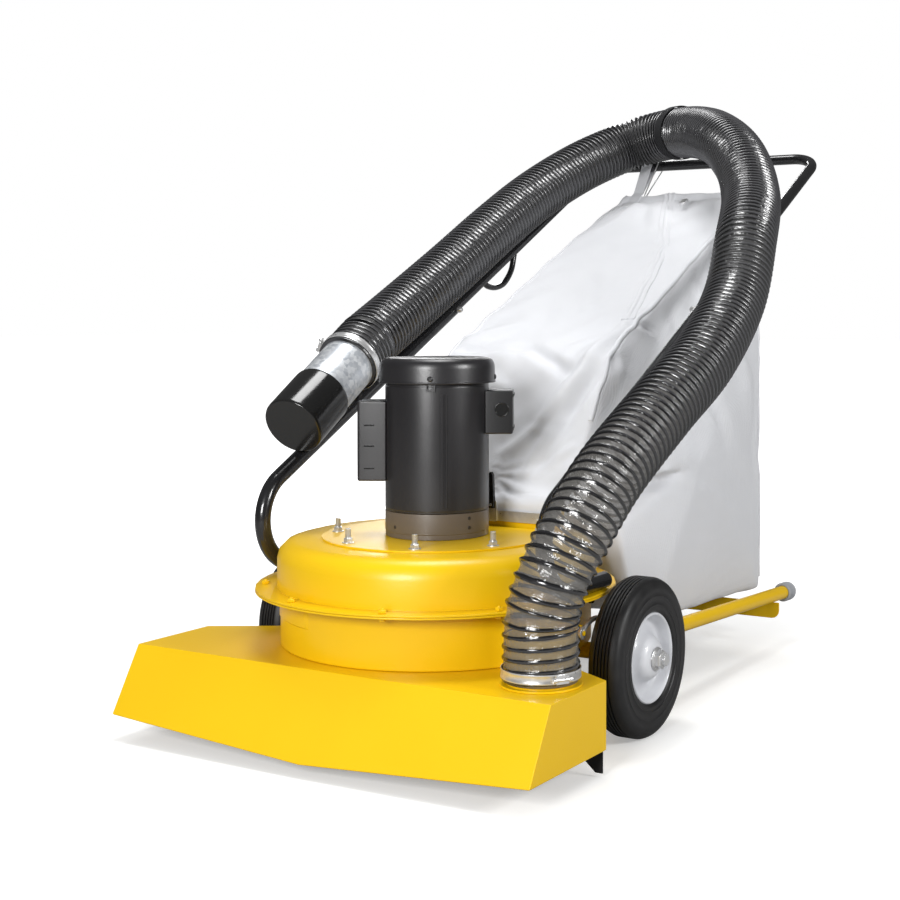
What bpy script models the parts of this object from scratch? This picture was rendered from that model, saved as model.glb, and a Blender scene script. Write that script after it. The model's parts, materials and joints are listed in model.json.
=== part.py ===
"""Walk-behind industrial floor vacuum, modelled in metres with +Z up.

The nozzle faces -Y and the handle reaches towards +Y. Every piece hangs from the empty
"machine", which stands on the floor under the fan's upright shaft and sets the model's
origin to the middle of its footprint. Sizes below are measured from that shaft.
"""
import math

import bmesh
import bpy
import numpy as np
from mathutils import Matrix, Quaternion, Vector

# Clearances
GAP = 0.0003            # between pieces that touch
ROUND = 40              # sides of the fan housing
MOTOR_ROUND = 28        # sides of the motor
RUN = 0.0004            # between a turning piece and its seat

# Floor nozzle
SHEET = 0.003
NOZZLE_HALF = 0.387
NOZZLE_TOP = 0.141
NOZZLE_EDGE = 0.040     # height of the lower edge at the ends
LIP_DROP = 0.020        # how far the front lip dips in the middle
NOZZLE_FRONT = -0.286   # upper front fold
FRONT_SLOPE = 0.553     # how far the front plate leans out per metre down
END_REAR = -0.127
TAPER_TURN = 0.577      # rise of the tapered rear walls, back per metre across
DUCT_REAR = 0.068
EYE_R = 0.060
FLAP_Y = -0.132
FLAP_TOP = 0.085
FLAP_THICK = 0.003

# Front swivel caster
CASTER_Y = -0.240
CASTER_R = 0.045
CASTER_TRAIL = 0.028
CASTER_WIDTH = 0.030
CASTER_SIDES = 20
FORK_SHEET = 0.003
KINGPIN_R = 0.016

# Fan housing
HOUSING_R = 0.2545
COVER_R = 0.2605
FLANGE_R = 0.295
FLANGE_Z = 0.2300       # joint between the two halves
HOUSING_TOP = 0.3075
SHOULDER = 0.030
FAN_HOLE_R = 0.150
PLATE_R = 0.1886
STUD_CIRCLE = 0.168
STUD_R = 0.004
STUD_TALL = 0.022

# Discharge chute and its neck
CHUTE_FRONT = 0.125
CHUTE_OUTLINE = ((-0.170, 0.0), (0.170, 0.0), (0.140, 0.047), (0.075, 0.083), (-0.075, 0.083),
                 (-0.140, 0.047))
CHUTE_TALL = 0.040
BAND_THICK = 0.002
BAND_TALL = 0.018
LATCH_X = 0.033
LATCH_LONG = 0.050

# Motor
MOTOR_R = 0.0853
MOTOR_WALL = 0.003
BELL_TALL = 0.042
SHELL_TALL = 0.212
CAP_R = 0.0966
CAP_TALL = 0.041
SHAFT_R = 0.0095
ROTOR_R = 0.038
STACK_TALL = 0.110
BEARING_R = 0.0195
BEARING_TALL = 0.012
FAN_R = 0.212
BLADES = 8
# Motor boxes: name, bearing in degrees, reach from the shaft, width, height above the plate, height, colour
MOTOR_BOXES = (
    ("capacitor_box", 208, 0.128, 0.064, 0.089, 0.131, "motor_grey"),
    ("terminal_box", 30, 0.126, 0.060, 0.166, 0.072, "black_plastic"),
)
BOX_ROOT = 0.060        # where the boxes start, inside the shell

# Axle, wheels and rails
WHEEL_R = 0.127
WHEEL_SIDES = 28        # the tread rests on one of its flats
TYRE_WIDE = 0.058
RIM_R = 0.072
WHEEL_X = 0.330
AXLE_Y = 0.086
AXLE_R = 0.0095
AXLE_TUBE_R = 0.01335
HUB_R = 0.021
HUB_FACE = 0.031        # outer end of the hub, from the middle of the wheel
RIM_INSET = 0.005
RAIL_R = 0.01335
RAIL_WALL = 0.0028
RAIL_X = 0.2725
RAIL_REAR = (0.868, 0.100)
RAIL_FALL = 0.043
RAIL_CAP_R = 0.0190
RAIL_CAP_LONG = 0.034
CROSS_PLATE_Y = 0.791
CROSS_PLATE_TALL = 0.032

# Handle
LEG_X = 0.2745
LEG_R = 0.0134
LEG_WALL = 0.0020
GRIP_R = 0.0110
GRIP_WALL = 0.0018
BEND_R = 0.0795
STUB_END = 0.075
BEND_Y = -0.036
LEG_RISE = 0.548        # rise of the handle per metre back
LEG_END = 0.460
LEG_OVERLAP = 0.120
GRIP_BACK = 1.045
GRIP_CORNER = 0.060
BOLT_R = 0.0032
BOLT_INSET = 0.014
STUB_BOLT_Y = 0.030

# Hose, collar and wand
HOSE_R = 0.057
PIPE_R = 0.0508
PIPE_WALL = 0.0016
COLLAR = (0.3155, -0.193)
COLLAR_TALL = 0.072
COLLAR_FLANGE_R = 0.0605
CLAMP_TALL = 0.014
CLAMP_THICK = 0.0016
WAND_TIP = (-0.255, -0.063, 0.482)
WAND_TOP = (-0.276, 0.163, 0.616)
CUFF_LONG = 0.070
END_CAP_LONG = 0.100
HOSE_STEP = 0.055       # distance between the tube's points

# The hose's free run, from the top of the collar to the wand, relative to the shaft.
HOSE_ROUTE = (
    (0.3190, -0.193, 0.250),
    (0.3330, -0.184, 0.300),
    (0.3480, -0.140, 0.365),
    (0.3580, -0.060, 0.436),
    (0.3700, 0.085, 0.523),
    (0.3780, 0.230, 0.600),
    (0.3680, 0.375, 0.697),
    (0.3500, 0.470, 0.806),
    (0.3050, 0.600, 0.890),
    (0.2450, 0.700, 0.965),
    (0.1650, 0.790, 1.025),
    (0.0600, 0.900, 1.062),
    (-0.0500, 0.975, 1.072),
    (-0.1500, 0.965, 1.050),
    (-0.2150, 0.870, 1.000),
    (-0.2550, 0.740, 0.930),
    (-0.2700, 0.600, 0.852),
    (-0.2780, 0.440, 0.760),
    (-0.2800, 0.280, 0.675),
)

# Filter bag: side outline as (y, z, left x, right x), starting at the mouth's front
BAG_WALL = 0.003
BAG_CLEAR = 0.0005
BAG_OUTLINE = (
    (0.150, 0.390, -0.172, 0.172),
    (0.296, 0.606, -0.194, 0.165),
    (0.420, 0.674, -0.190, 0.160),
    (0.930, 0.925, -0.176, 0.158),
    (0.995, 0.944, -0.168, 0.150),
    (0.935, 0.800, -0.195, 0.190),
    (0.893, 0.560, -0.215, 0.215),
    (0.874, 0.102, -0.225, 0.225),
    (0.370, 0.130, -0.225, 0.225),
    (0.304, 0.200, -0.205, 0.205),
    (0.304, 0.300, -0.190, 0.190),
)
BAG_BULGE = (0.238, 0.560, 0.400)
STRAP_X = -0.135
STRAP_WIDE = 0.025
STRAP_THICK = 0.002
ZIP_X = 0.020
ZIP_START = 0.030

# Small lever beside the right wheel
LEVER_Y = -0.027
LEVER_X = 0.2850
LEVER_Z = 0.181
LEVER_LONG = 0.078

STRAP_LOOP = 0.0026     # how far the strap round the bar reaches behind it

WALK_REAR = GRIP_BACK + GRIP_R + STRAP_LOOP
WALK_FRONT = NOZZLE_FRONT - FRONT_SLOPE * (NOZZLE_TOP - NOZZLE_EDGE + LIP_DROP)
SHAFT_Y = -(WALK_REAR + WALK_FRONT) / 2

COLOURS = {
    "yellow": ((0.86, 0.60, 0.03), 0.30, 0.0),
    "black_paint": ((0.02, 0.02, 0.02), 0.35, 0.0),
    "motor_grey": ((0.07, 0.07, 0.075), 0.40, 0.3),
    "taupe": ((0.16, 0.14, 0.12), 0.40, 0.3),
    "steel": ((0.62, 0.62, 0.62), 0.28, 1.0),
    "galvanised": ((0.66, 0.68, 0.70), 0.32, 1.0),
    "copper": ((0.55, 0.27, 0.12), 0.40, 0.8),
    "rubber": ((0.035, 0.035, 0.035), 0.70, 0.0),
    "grey_rubber": ((0.42, 0.43, 0.45), 0.65, 0.0),
    "white_paint": ((0.80, 0.80, 0.80), 0.30, 0.0),
    "black_plastic": ((0.02, 0.02, 0.02), 0.30, 0.0),
    "cloth": ((0.86, 0.86, 0.88), 0.90, 0.0),
    "webbing": ((0.03, 0.03, 0.03), 0.85, 0.0),
}


# ---------------------------------------------------------------- building blocks

def material(colour):
    """The Principled material of that name, made once."""
    found = bpy.data.materials.get(colour)
    if found:
        return found
    base, roughness, metallic = COLOURS[colour]
    made = bpy.data.materials.new(colour)
    made.use_nodes = True
    shader = made.node_tree.nodes["Principled BSDF"]
    shader.inputs["Base Color"].default_value = (*base, 1.0)
    shader.inputs["Roughness"].default_value = roughness
    shader.inputs["Metallic"].default_value = metallic
    made.diffuse_color = (*base, 1.0)
    return made


def place(name, data, colour, at, turn, parent):
    """An object of that data, hung from its parent empty."""
    made = bpy.data.objects.new(name, data)
    bpy.context.scene.collection.objects.link(made)
    data.materials.append(material(colour))
    made.location = at
    made.rotation_mode = "QUATERNION"
    made.rotation_quaternion = turn
    made.parent = parent
    return made


UPRIGHT = Quaternion()


def along(direction):
    """The turn that lays local Z along that direction."""
    return Vector((0, 0, 1)).rotation_difference(Vector(direction))


def mesh_object(name, points, faces, colour, at=(0, 0, 0), turn=UPRIGHT, parent=None, round_edges=False):
    """An object of those points and faces, with its faces pointing out."""
    mesh = bpy.data.meshes.new(name)
    shape = bmesh.new()
    corners = [shape.verts.new(p) for p in points]
    for face in faces:
        shape.faces.new([corners[i] for i in face])
    bmesh.ops.recalc_face_normals(shape, faces=shape.faces)
    shape.to_mesh(mesh)
    shape.free()
    if round_edges:
        mesh.shade_smooth()
        mesh.set_sharp_from_angle(angle=math.radians(35))
    return place(name, mesh, colour, at, turn, parent or machine)


def turned(name, profile, colour, at=(0, 0, 0), turn=UPRIGHT, parent=None, sides=40, offset=0.0):
    """A body turned about local Z from the closed outline of its section, offset by a part of a side."""
    angles = [2 * math.pi * (k + offset) / sides for k in range(sides)]
    points = []
    rings = []
    for radius, height in profile:
        if radius < 1e-9:
            rings.append([len(points)] * sides)
            points.append((0, 0, height))
            continue
        rings.append([len(points) + k for k in range(sides)])
        points.extend((radius * math.cos(a), radius * math.sin(a), height) for a in angles)
    faces = []
    for lower, upper in zip(rings, rings[1:] + rings[:1]):
        for k in range(sides):
            n = (k + 1) % sides
            corners = list(dict.fromkeys([lower[k], lower[n], upper[n], upper[k]]))
            if len(corners) > 2:
                faces.append(corners)
    return mesh_object(name, points, faces, colour, at, turn, parent, True)


def tube_profile(outer, inner, low, high):
    """The section of a plain ring or sleeve."""
    return [(inner, low), (outer, low), (outer, high), (inner, high)]


def arc(centre, radius, start, end, steps):
    """Points of an arc in degrees, as (first, second) coordinates."""
    angles = [math.radians(start + (end - start) * k / steps) for k in range(steps + 1)]
    return [(centre[0] + radius * math.cos(a), centre[1] + radius * math.sin(a)) for a in angles]


def prism(name, outline, low, high, colour, at=(0, 0, 0), turn=UPRIGHT, parent=None, round_edges=False):
    """An outline in local X and Y, pushed from one height to another."""
    count = len(outline)
    points = [(x, y, low) for x, y in outline] + [(x, y, high) for x, y in outline]
    faces = [list(range(count)), list(range(count, 2 * count))]
    faces += [[k, (k + 1) % count, count + (k + 1) % count, count + k] for k in range(count)]
    return mesh_object(name, points, faces, colour, at, turn, parent, round_edges)


def rounded_box(wide, deep, radius, steps=3):
    """A rectangle about the origin with round corners."""
    corners = ((1, 1, 0), (-1, 1, 90), (-1, -1, 180), (1, -1, 270))
    outline = []
    for side_x, side_y, start in corners:
        centre = (side_x * (wide / 2 - radius), side_y * (deep / 2 - radius))
        outline += arc(centre, radius, start, start + 90, steps)
    return outline


def ring_prism(name, outer, inner, low, high, colour, at=(0, 0, 0), turn=UPRIGHT):
    """A wall between two outlines with as many points each, open above and below."""
    count = len(outer)
    loops = [(outer, low), (outer, high), (inner, high), (inner, low)]
    points = [(x, y, z) for loop, z in loops for x, y in loop]
    faces = []
    for ring in range(4):
        here, there = ring * count, (ring + 1) % 4 * count
        faces += [[here + k, here + (k + 1) % count, there + (k + 1) % count,
                   there + k] for k in range(count)]
    return mesh_object(name, points, faces, colour, at, turn)


def swept(name, path, outer, inner, colour, sides=16, at=(0, 0, 0)):
    """A hollow tube along a path, with open ends square to it."""
    path = [Vector(p) for p in path]
    forward = [(path[min(k + 1, len(path) - 1)] - path[max(k - 1,
                                                           0)]).normalized() for k in range(len(path))]
    side = forward[0].orthogonal().normalized()
    rings = {outer: [], inner: []}
    points = []
    for here, ahead in zip(path, forward):
        side = (side - ahead * side.dot(ahead)).normalized()
        other = ahead.cross(side)
        for radius in (outer, inner):
            rings[radius].append([len(points) + k for k in range(sides)])
            for k in range(sides):
                angle = 2 * math.pi * k / sides
                points.append(here + radius * (math.cos(angle) * side + math.sin(angle) * other))
    loops = rings[outer] + rings[inner][::-1]
    faces = []
    for low, high in zip(loops, loops[1:] + loops[:1]):
        faces += [[low[k], low[(k + 1) % sides], high[(k + 1) % sides], high[k]] for k in range(sides)]
    return mesh_object(name, points, faces, colour, at, round_edges=True)


def change(target, tool, operation):
    """Cut the target with the tool, or join the two, by an exact Boolean."""
    step = target.modifiers.new(operation.title(), "BOOLEAN")
    step.operation = operation
    step.object = tool
    step.solver = "EXACT"
    tool.hide_render = True
    tool.display_type = "WIRE"


def empty(name, at):
    """An empty on a joint's axis, hung from the machine."""
    made = bpy.data.objects.new(name, None)
    bpy.context.scene.collection.objects.link(made)
    made.location = at
    made.parent = machine
    return made


def smooth_route(points, step):
    """Points at equal steps along a smooth curve through the given points."""
    points = np.array(points)
    ends = np.vstack([2 * points[0] - points[1], points, 2 * points[-1] - points[-2]])
    fine = []
    for k in range(len(points) - 1):
        a, b, c, d = ends[k:k + 4]
        for t in np.linspace(0, 1, 20, endpoint=False):
            fine.append(0.5 * (2 * b + (c - a) * t + (2 * a - 5 * b + 4 * c - d) * t ** 2
                               + (3 * b - a - 3 * c + d) * t ** 3))
    fine.append(points[-1])
    fine = np.array(fine)
    run = np.concatenate([[0], np.cumsum(np.linalg.norm(np.diff(fine, axis=0), axis=1))])
    count = int(round(run[-1] / step))
    marks = np.linspace(0, run[-1], count + 1)
    return np.stack([np.interp(marks, run, fine[:, axis]) for axis in range(3)], axis=1)


# ---------------------------------------------------------------- nozzle

def taper_half(back):
    """The tapered rear wall's distance from the middle that far back."""
    return NOZZLE_HALF - (back - END_REAR) / TAPER_TURN


def make_nozzle():
    """Folded sheet hood with an open underside, an eye under the fan and a port for the hose."""
    rear = taper_half(DUCT_REAR)
    top = [(-NOZZLE_HALF, NOZZLE_FRONT), (NOZZLE_HALF, NOZZLE_FRONT), (NOZZLE_HALF, END_REAR),
           (rear, DUCT_REAR), (-rear, DUCT_REAR), (-NOZZLE_HALF, END_REAR)]
    lip = NOZZLE_FRONT - FRONT_SLOPE * (NOZZLE_TOP - NOZZLE_EDGE)
    bottom = [(-NOZZLE_HALF, lip), (NOZZLE_HALF, lip)] + top[2:]
    points = [(x, y, NOZZLE_TOP) for x, y in top] + [(x, y, NOZZLE_EDGE) for x, y in bottom]
    points.append((0, WALK_FRONT, NOZZLE_EDGE - LIP_DROP))
    faces = [[0, 1, 2, 3, 4, 5], [0, 6, 12, 7, 1]]
    faces += [[k, k + 6, (k + 1) % 6 + 6, (k + 1) % 6] for k in range(1, 6)]
    hood = mesh_object("nozzle_shell", points, faces, "yellow")
    wall = hood.modifiers.new("Sheet", "SOLIDIFY")
    wall.thickness = SHEET
    wall.offset = -1
    wall.use_even_offset = True
    hole_low, hole_high = NOZZLE_TOP - 4 * SHEET, NOZZLE_TOP + 4 * SHEET
    eye = turned("eye_cutter", [(0, hole_low), (EYE_R, hole_low), (EYE_R, hole_high), (0, hole_high)],
                 "yellow")
    port_r = PIPE_R - SHEET
    port_profile = [(0, hole_low), (port_r, hole_low), (port_r, hole_high), (0, hole_high)]
    port = turned("port_cutter", port_profile, "yellow", (*COLLAR, 0))
    change(hood, eye, "DIFFERENCE")
    change(hood, port, "DIFFERENCE")

    inside = SHEET / math.cos(math.atan(1 / TAPER_TURN)) + GAP
    floor_front = FLAP_Y + FLAP_THICK / 2 + GAP
    front_half = NOZZLE_HALF - SHEET - GAP
    corner = END_REAR - TAPER_TURN * (inside - SHEET - GAP)
    floor_rear = DUCT_REAR - SHEET - GAP
    rear_half = taper_half(floor_rear) - inside
    outline = [(-front_half, floor_front), (front_half, floor_front), (front_half, corner),
               (rear_half, floor_rear),
               (-rear_half, floor_rear), (-front_half, corner)]
    prism("duct_floor", outline, NOZZLE_EDGE, NOZZLE_EDGE + SHEET, "yellow")

    half = NOZZLE_HALF - SHEET - GAP
    tip = 0.006
    bottom_edge = NOZZLE_EDGE - 0.008
    flap = [(-half, tip), (-half + 0.012, tip), (-half + 0.042, bottom_edge), (half - 0.042, bottom_edge),
            (half - 0.012, tip), (half, tip), (half, FLAP_TOP), (-half, FLAP_TOP)]
    prism("rear_flap", flap, -FLAP_THICK / 2, FLAP_THICK / 2, "rubber", (0, FLAP_Y, 0), along((0, -1, 0)))


def make_caster():
    """Swivel caster under the hood's roof, with its wheel trailing behind the kingpin."""
    roof = NOZZLE_TOP - SHEET - GAP
    plate_low = roof - 0.004
    crown_top = plate_low - 0.008
    crown_low = crown_top - FORK_SHEET
    profile = [(0, roof), (0.030, roof), (0.034, roof - 0.001), (0.034, plate_low), (KINGPIN_R, plate_low),
               (KINGPIN_R, crown_top + RUN), (0, crown_top + RUN)]
    turned("caster_plate", profile, "steel", (0, CASTER_Y, 0), sides=24)

    swivel = empty("caster_swivel_axis", (0, CASTER_Y, 0))
    leg_in = CASTER_WIDTH / 2 + 0.0015
    leg_out = leg_in + FORK_SHEET
    axle_z = CASTER_R
    side = [(-0.020, crown_top), (0.020, crown_top), (CASTER_TRAIL + 0.011, axle_z + 0.004),
            (CASTER_TRAIL + 0.008, axle_z - 0.008), (CASTER_TRAIL - 0.008, axle_z - 0.008),
            (CASTER_TRAIL - 0.012, axle_z + 0.004)]
    # a bent channel: the outline of the legs pushed across, with the space for the wheel cut out
    fork = prism("caster_fork", side, -leg_out, leg_out, "steel", parent=swivel, turn=across_x())
    space = [(-0.060, -0.020), (0.080, -0.020), (0.080, crown_low), (-0.060, crown_low)]
    cutter = prism("fork_cutter", space, -leg_in, leg_in, "steel", parent=swivel, turn=across_x())
    change(fork, cutter, "DIFFERENCE")
    pin_r = 0.004
    pin_half = leg_in + FORK_SHEET / 2
    pin_profile = [(0, -pin_half), (pin_r, -pin_half), (pin_r, pin_half), (0, pin_half)]
    pin = turned("fork_pin", pin_profile, "steel", (0, CASTER_TRAIL, axle_z), along((1, 0, 0)), swivel, 12)
    change(fork, pin, "UNION")

    spin = empty("caster_wheel_axis", (0, CASTER_Y + CASTER_TRAIL, axle_z))
    half = CASTER_WIDTH / 2
    bore = (pin_r + RUN) / math.cos(math.pi / CASTER_SIDES)
    tread = CASTER_R / math.cos(math.pi / CASTER_SIDES)
    profile = [(bore, -half), (0.012, -half), (0.012, -half + 0.003), (CASTER_R - 0.010, -half + 0.003),
               (CASTER_R - 0.004, -half), (tread, -half + 0.007), (tread, half - 0.007),
               (CASTER_R - 0.004, half), (CASTER_R - 0.010, half - 0.003), (0.012, half - 0.003),
               (0.012, half), (bore, half)]
    turned("caster_wheel", profile, "rubber", turn=along((1, 0, 0)), parent=spin, sides=CASTER_SIDES,
           offset=0.5)


def across_x():
    """Stands an outline upright with its X along the machine's +Y, pushed along +X."""
    return matrix_turn([(0, 0, 1), (1, 0, 0), (0, 1, 0)])


def matrix_turn(rows):
    """The quaternion of a rotation given by its three rows."""
    return Matrix(rows).to_quaternion()


# ---------------------------------------------------------------- fan housing and motor

def make_housing():
    """Two pressed drums bolted at a flange, the round motor plate and the impeller."""
    low = NOZZLE_TOP + GAP
    lip = low + 0.020
    seam = FLANGE_Z - GAP / 2
    lower = [(EYE_R, low), (HOUSING_R, low), (HOUSING_R, seam - SHEET), (FLANGE_R, seam - SHEET),
             (FLANGE_R, seam),
             (HOUSING_R - SHEET, seam), (HOUSING_R - SHEET, low + SHEET), (EYE_R + SHEET, low + SHEET),
             (EYE_R + SHEET, lip), (EYE_R, lip)]
    turned("housing_lower", lower, "yellow", sides=ROUND)

    start = FLANGE_Z + GAP / 2
    centre = (COVER_R - SHOULDER, HOUSING_TOP - SHOULDER)
    outer = arc(centre, SHOULDER, 0, 90, 3)
    inner = arc(centre, SHOULDER - SHEET, 90, 0, 3)
    upper = [(COVER_R - SHEET, start), (FLANGE_R, start), (FLANGE_R, start + SHEET),
             (COVER_R, start + SHEET)]
    upper += outer + [(FAN_HOLE_R, HOUSING_TOP), (FAN_HOLE_R, HOUSING_TOP - SHEET)] + inner
    drum = turned("housing_upper", upper, "yellow", sides=ROUND)
    mouth = [(x, CHUTE_FRONT + y) for x, y in shrink(CHUTE_OUTLINE, SHEET)]
    cutter = prism("mouth_cutter", mouth, HOUSING_TOP - 0.02, HOUSING_TOP + 0.02, "yellow")
    change(drum, cutter, "DIFFERENCE")

    plate_low = HOUSING_TOP + GAP
    plate_high = plate_low + SHEET
    cut_y = CHUTE_FRONT - 0.0075
    reach = math.degrees(math.asin(cut_y / PLATE_R))
    outline = arc((0, 0), PLATE_R, 180 - reach, 360 + reach, 30)
    plate = prism("mounting_plate", outline, plate_low, plate_high, "yellow")
    hole = turned("shaft_hole_cutter", [(0, plate_low - 0.01), (0.024, plate_low - 0.01),
                                        (0.024, plate_high + 0.01),
                                       (0, plate_high + 0.01)], "yellow", sides=24)
    change(plate, hole, "DIFFERENCE")
    for k, degrees in enumerate(STUD_ANGLES):
        spot = (STUD_CIRCLE * math.cos(math.radians(degrees)),
                STUD_CIRCLE * math.sin(math.radians(degrees)), 0)
        shank = [(0, plate_low + 0.001), (STUD_R, plate_low + 0.001), (STUD_R, plate_high + STUD_TALL),
                 (0, plate_high + STUD_TALL)]
        stud = turned(f"stud_{k + 1}", shank, "steel", spot, sides=8)
        change(plate, stud, "UNION")
    return plate_high


STUD_ANGLES = (-112, -67, -24, 30, 150, -157)


def shrink(outline, by):
    """A copy of an outline about its own middle, smaller all round by that much."""
    points = np.array(outline, float)
    count = len(points)
    moved = []
    for k in range(count):
        before, here, after = points[k - 1], points[k], points[(k + 1) % count]
        one = (here - before) / np.linalg.norm(here - before)
        two = (after - here) / np.linalg.norm(after - here)
        normal_one, normal_two = np.array([-one[1], one[0]]), np.array([-two[1], two[0]])
        middle = normal_one + normal_two
        moved.append(tuple(here + by * middle / (1 + normal_one @ normal_two)))
    return moved


def make_rotor(spin, plate_high):
    """Impeller, shaft, rotor core and cooling fan, all turning together."""
    low, high = NOZZLE_TOP + 0.034, HOUSING_TOP - 0.022
    outline = []
    for k in range(BLADES):
        turn = 2 * math.pi * k / BLADES
        wide = 0.0025
        for radius, side in ((0.030, -1), (FAN_R - 0.004, -1), (FAN_R - 0.004, 1), (0.030, 1)):
            across = wide * side
            outline.append((radius * math.cos(turn) - across * math.sin(turn),
                            radius * math.sin(turn) + across * math.cos(turn)))
    wheel = prism("impeller", outline, low, high, "steel", parent=spin)
    disc = turned("impeller_disc", [(0, high - 0.002), (FAN_R, high - 0.002), (FAN_R, high + 0.003),
                                    (0, high + 0.003)],
                  "steel", parent=spin, sides=32)
    change(wheel, disc, "UNION")
    bore = turned("impeller_bore", [(0, low - 0.01), (SHAFT_R + GAP, low - 0.01),
                                    (SHAFT_R + GAP, high + 0.01),
                                    (0, high + 0.01)], "steel", parent=spin, sides=20)
    change(wheel, bore, "DIFFERENCE")

    shell_top = plate_high + GAP + BELL_TALL + GAP + SHELL_TALL
    shaft_top = shell_top + 0.022
    shaft = [(0, low), (SHAFT_R, low), (SHAFT_R, shaft_top), (0, shaft_top)]
    turned("motor_shaft", shaft, "steel", parent=spin, sides=20)

    stack_low = plate_high + BELL_TALL + 0.028
    core = tube_profile(ROTOR_R, SHAFT_R + GAP, stack_low, stack_low + STACK_TALL)
    turned("rotor_core", core, "steel", parent=spin, sides=20)

    fan_low = shell_top + 0.005
    fan = []
    for k in range(6):
        turn = 2 * math.pi * k / 6
        for radius, side in ((0.016, -1), (0.070, -1), (0.070, 1), (0.016, 1)):
            across = 0.0015 * side
            fan.append((radius * math.cos(turn) - across * math.sin(turn),
                        radius * math.sin(turn) + across * math.cos(turn)))
    cooling = prism("cooling_fan", fan, fan_low, fan_low + 0.014, "black_plastic", parent=spin)
    fan_bore = turned("fan_bore", [(0, fan_low - 0.01), (SHAFT_R + GAP, fan_low - 0.01),
                                   (SHAFT_R + GAP, fan_low + 0.03), (0, fan_low + 0.03)], "steel",
                      parent=spin, sides=20)
    change(cooling, fan_bore, "DIFFERENCE")


def make_motor(plate_high):
    """Upright enclosed motor: end bell, shell, top cap, windings, bearings and its two boxes."""
    base = plate_high + GAP
    bell_top = base + BELL_TALL
    seat = BEARING_R + GAP
    floor = 0.006
    bell = [(SHAFT_R + 0.002, base), (MOTOR_R, base), (MOTOR_R, bell_top), (MOTOR_R - 0.004, bell_top),
            (MOTOR_R - 0.004, base + floor), (seat + 0.006, base + floor),
            (seat + 0.006, base + floor + BEARING_TALL),
            (seat, base + floor + BEARING_TALL), (seat, base + floor - 0.002),
            (SHAFT_R + 0.002, base + floor - 0.002)]
    turned("motor_end_bell", bell, "taupe", sides=MOTOR_ROUND)
    bearing_low = base + floor - 0.002 + GAP
    ring = tube_profile(BEARING_R, SHAFT_R + RUN, bearing_low, bearing_low + BEARING_TALL)
    turned("bearing_lower", ring, "steel", sides=20)

    shell_low = bell_top + GAP
    shell_top = shell_low + SHELL_TALL
    inner = MOTOR_R - MOTOR_WALL
    roof = shell_top - 0.006
    shell = [(inner, shell_low), (MOTOR_R, shell_low), (MOTOR_R, shell_top), (SHAFT_R + 0.002, shell_top),
             (SHAFT_R + 0.002, roof + 0.002), (seat, roof + 0.002), (seat, roof - BEARING_TALL),
             (seat + 0.006, roof - BEARING_TALL), (seat + 0.006, roof), (inner, roof)]
    turned("motor_shell", shell, "motor_grey", sides=MOTOR_ROUND)
    bearing_high = roof + 0.002 - GAP
    ring = tube_profile(BEARING_R, SHAFT_R + RUN, bearing_high - BEARING_TALL, bearing_high)
    turned("bearing_upper", ring, "steel", sides=20)

    stack_low = plate_high + BELL_TALL + 0.028
    windings = tube_profile(inner - GAP, ROTOR_R + 0.0008, stack_low - 0.006,
                            stack_low + STACK_TALL + 0.006)
    turned("stator", windings, "copper", sides=MOTOR_ROUND)

    cap_low = shell_top - 0.004
    cap_top = cap_low + CAP_TALL
    bend = 0.020
    outer = arc((CAP_R - bend, cap_top - bend), bend, 0, 90, 3)
    inside = arc((CAP_R - bend, cap_top - bend), bend - MOTOR_WALL, 90, 0, 3)
    cap = [(MOTOR_R + GAP, cap_low), (CAP_R, cap_low)] + outer + [(0.006, cap_top),
                                                                  (0.006, cap_top - MOTOR_WALL)]
    cap += inside + [(CAP_R - MOTOR_WALL, cap_low + 0.006), (MOTOR_R + GAP, cap_low + 0.006)]
    turned("motor_fan_cap", cap, "motor_grey", sides=MOTOR_ROUND)

    for name, bearing, reach, wide, low, tall, colour in MOTOR_BOXES:
        angle = math.radians(bearing)
        middle = (BOX_ROOT + reach) / 2
        spot = (middle * math.cos(angle), middle * math.sin(angle), 0)
        outline = rounded_box(reach - BOX_ROOT, wide, 0.005)
        box = prism(name, outline, base + low, base + low + tall, colour, spot, Quaternion((0, 0, 1), angle))
        around = turned(f"{name}_cutter", [(0, base), (MOTOR_R + GAP, base), (MOTOR_R + GAP, shell_top),
                                           (0, shell_top)], colour, sides=MOTOR_ROUND)
        change(box, around, "DIFFERENCE")
    return cap_top


# ---------------------------------------------------------------- chassis

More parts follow.
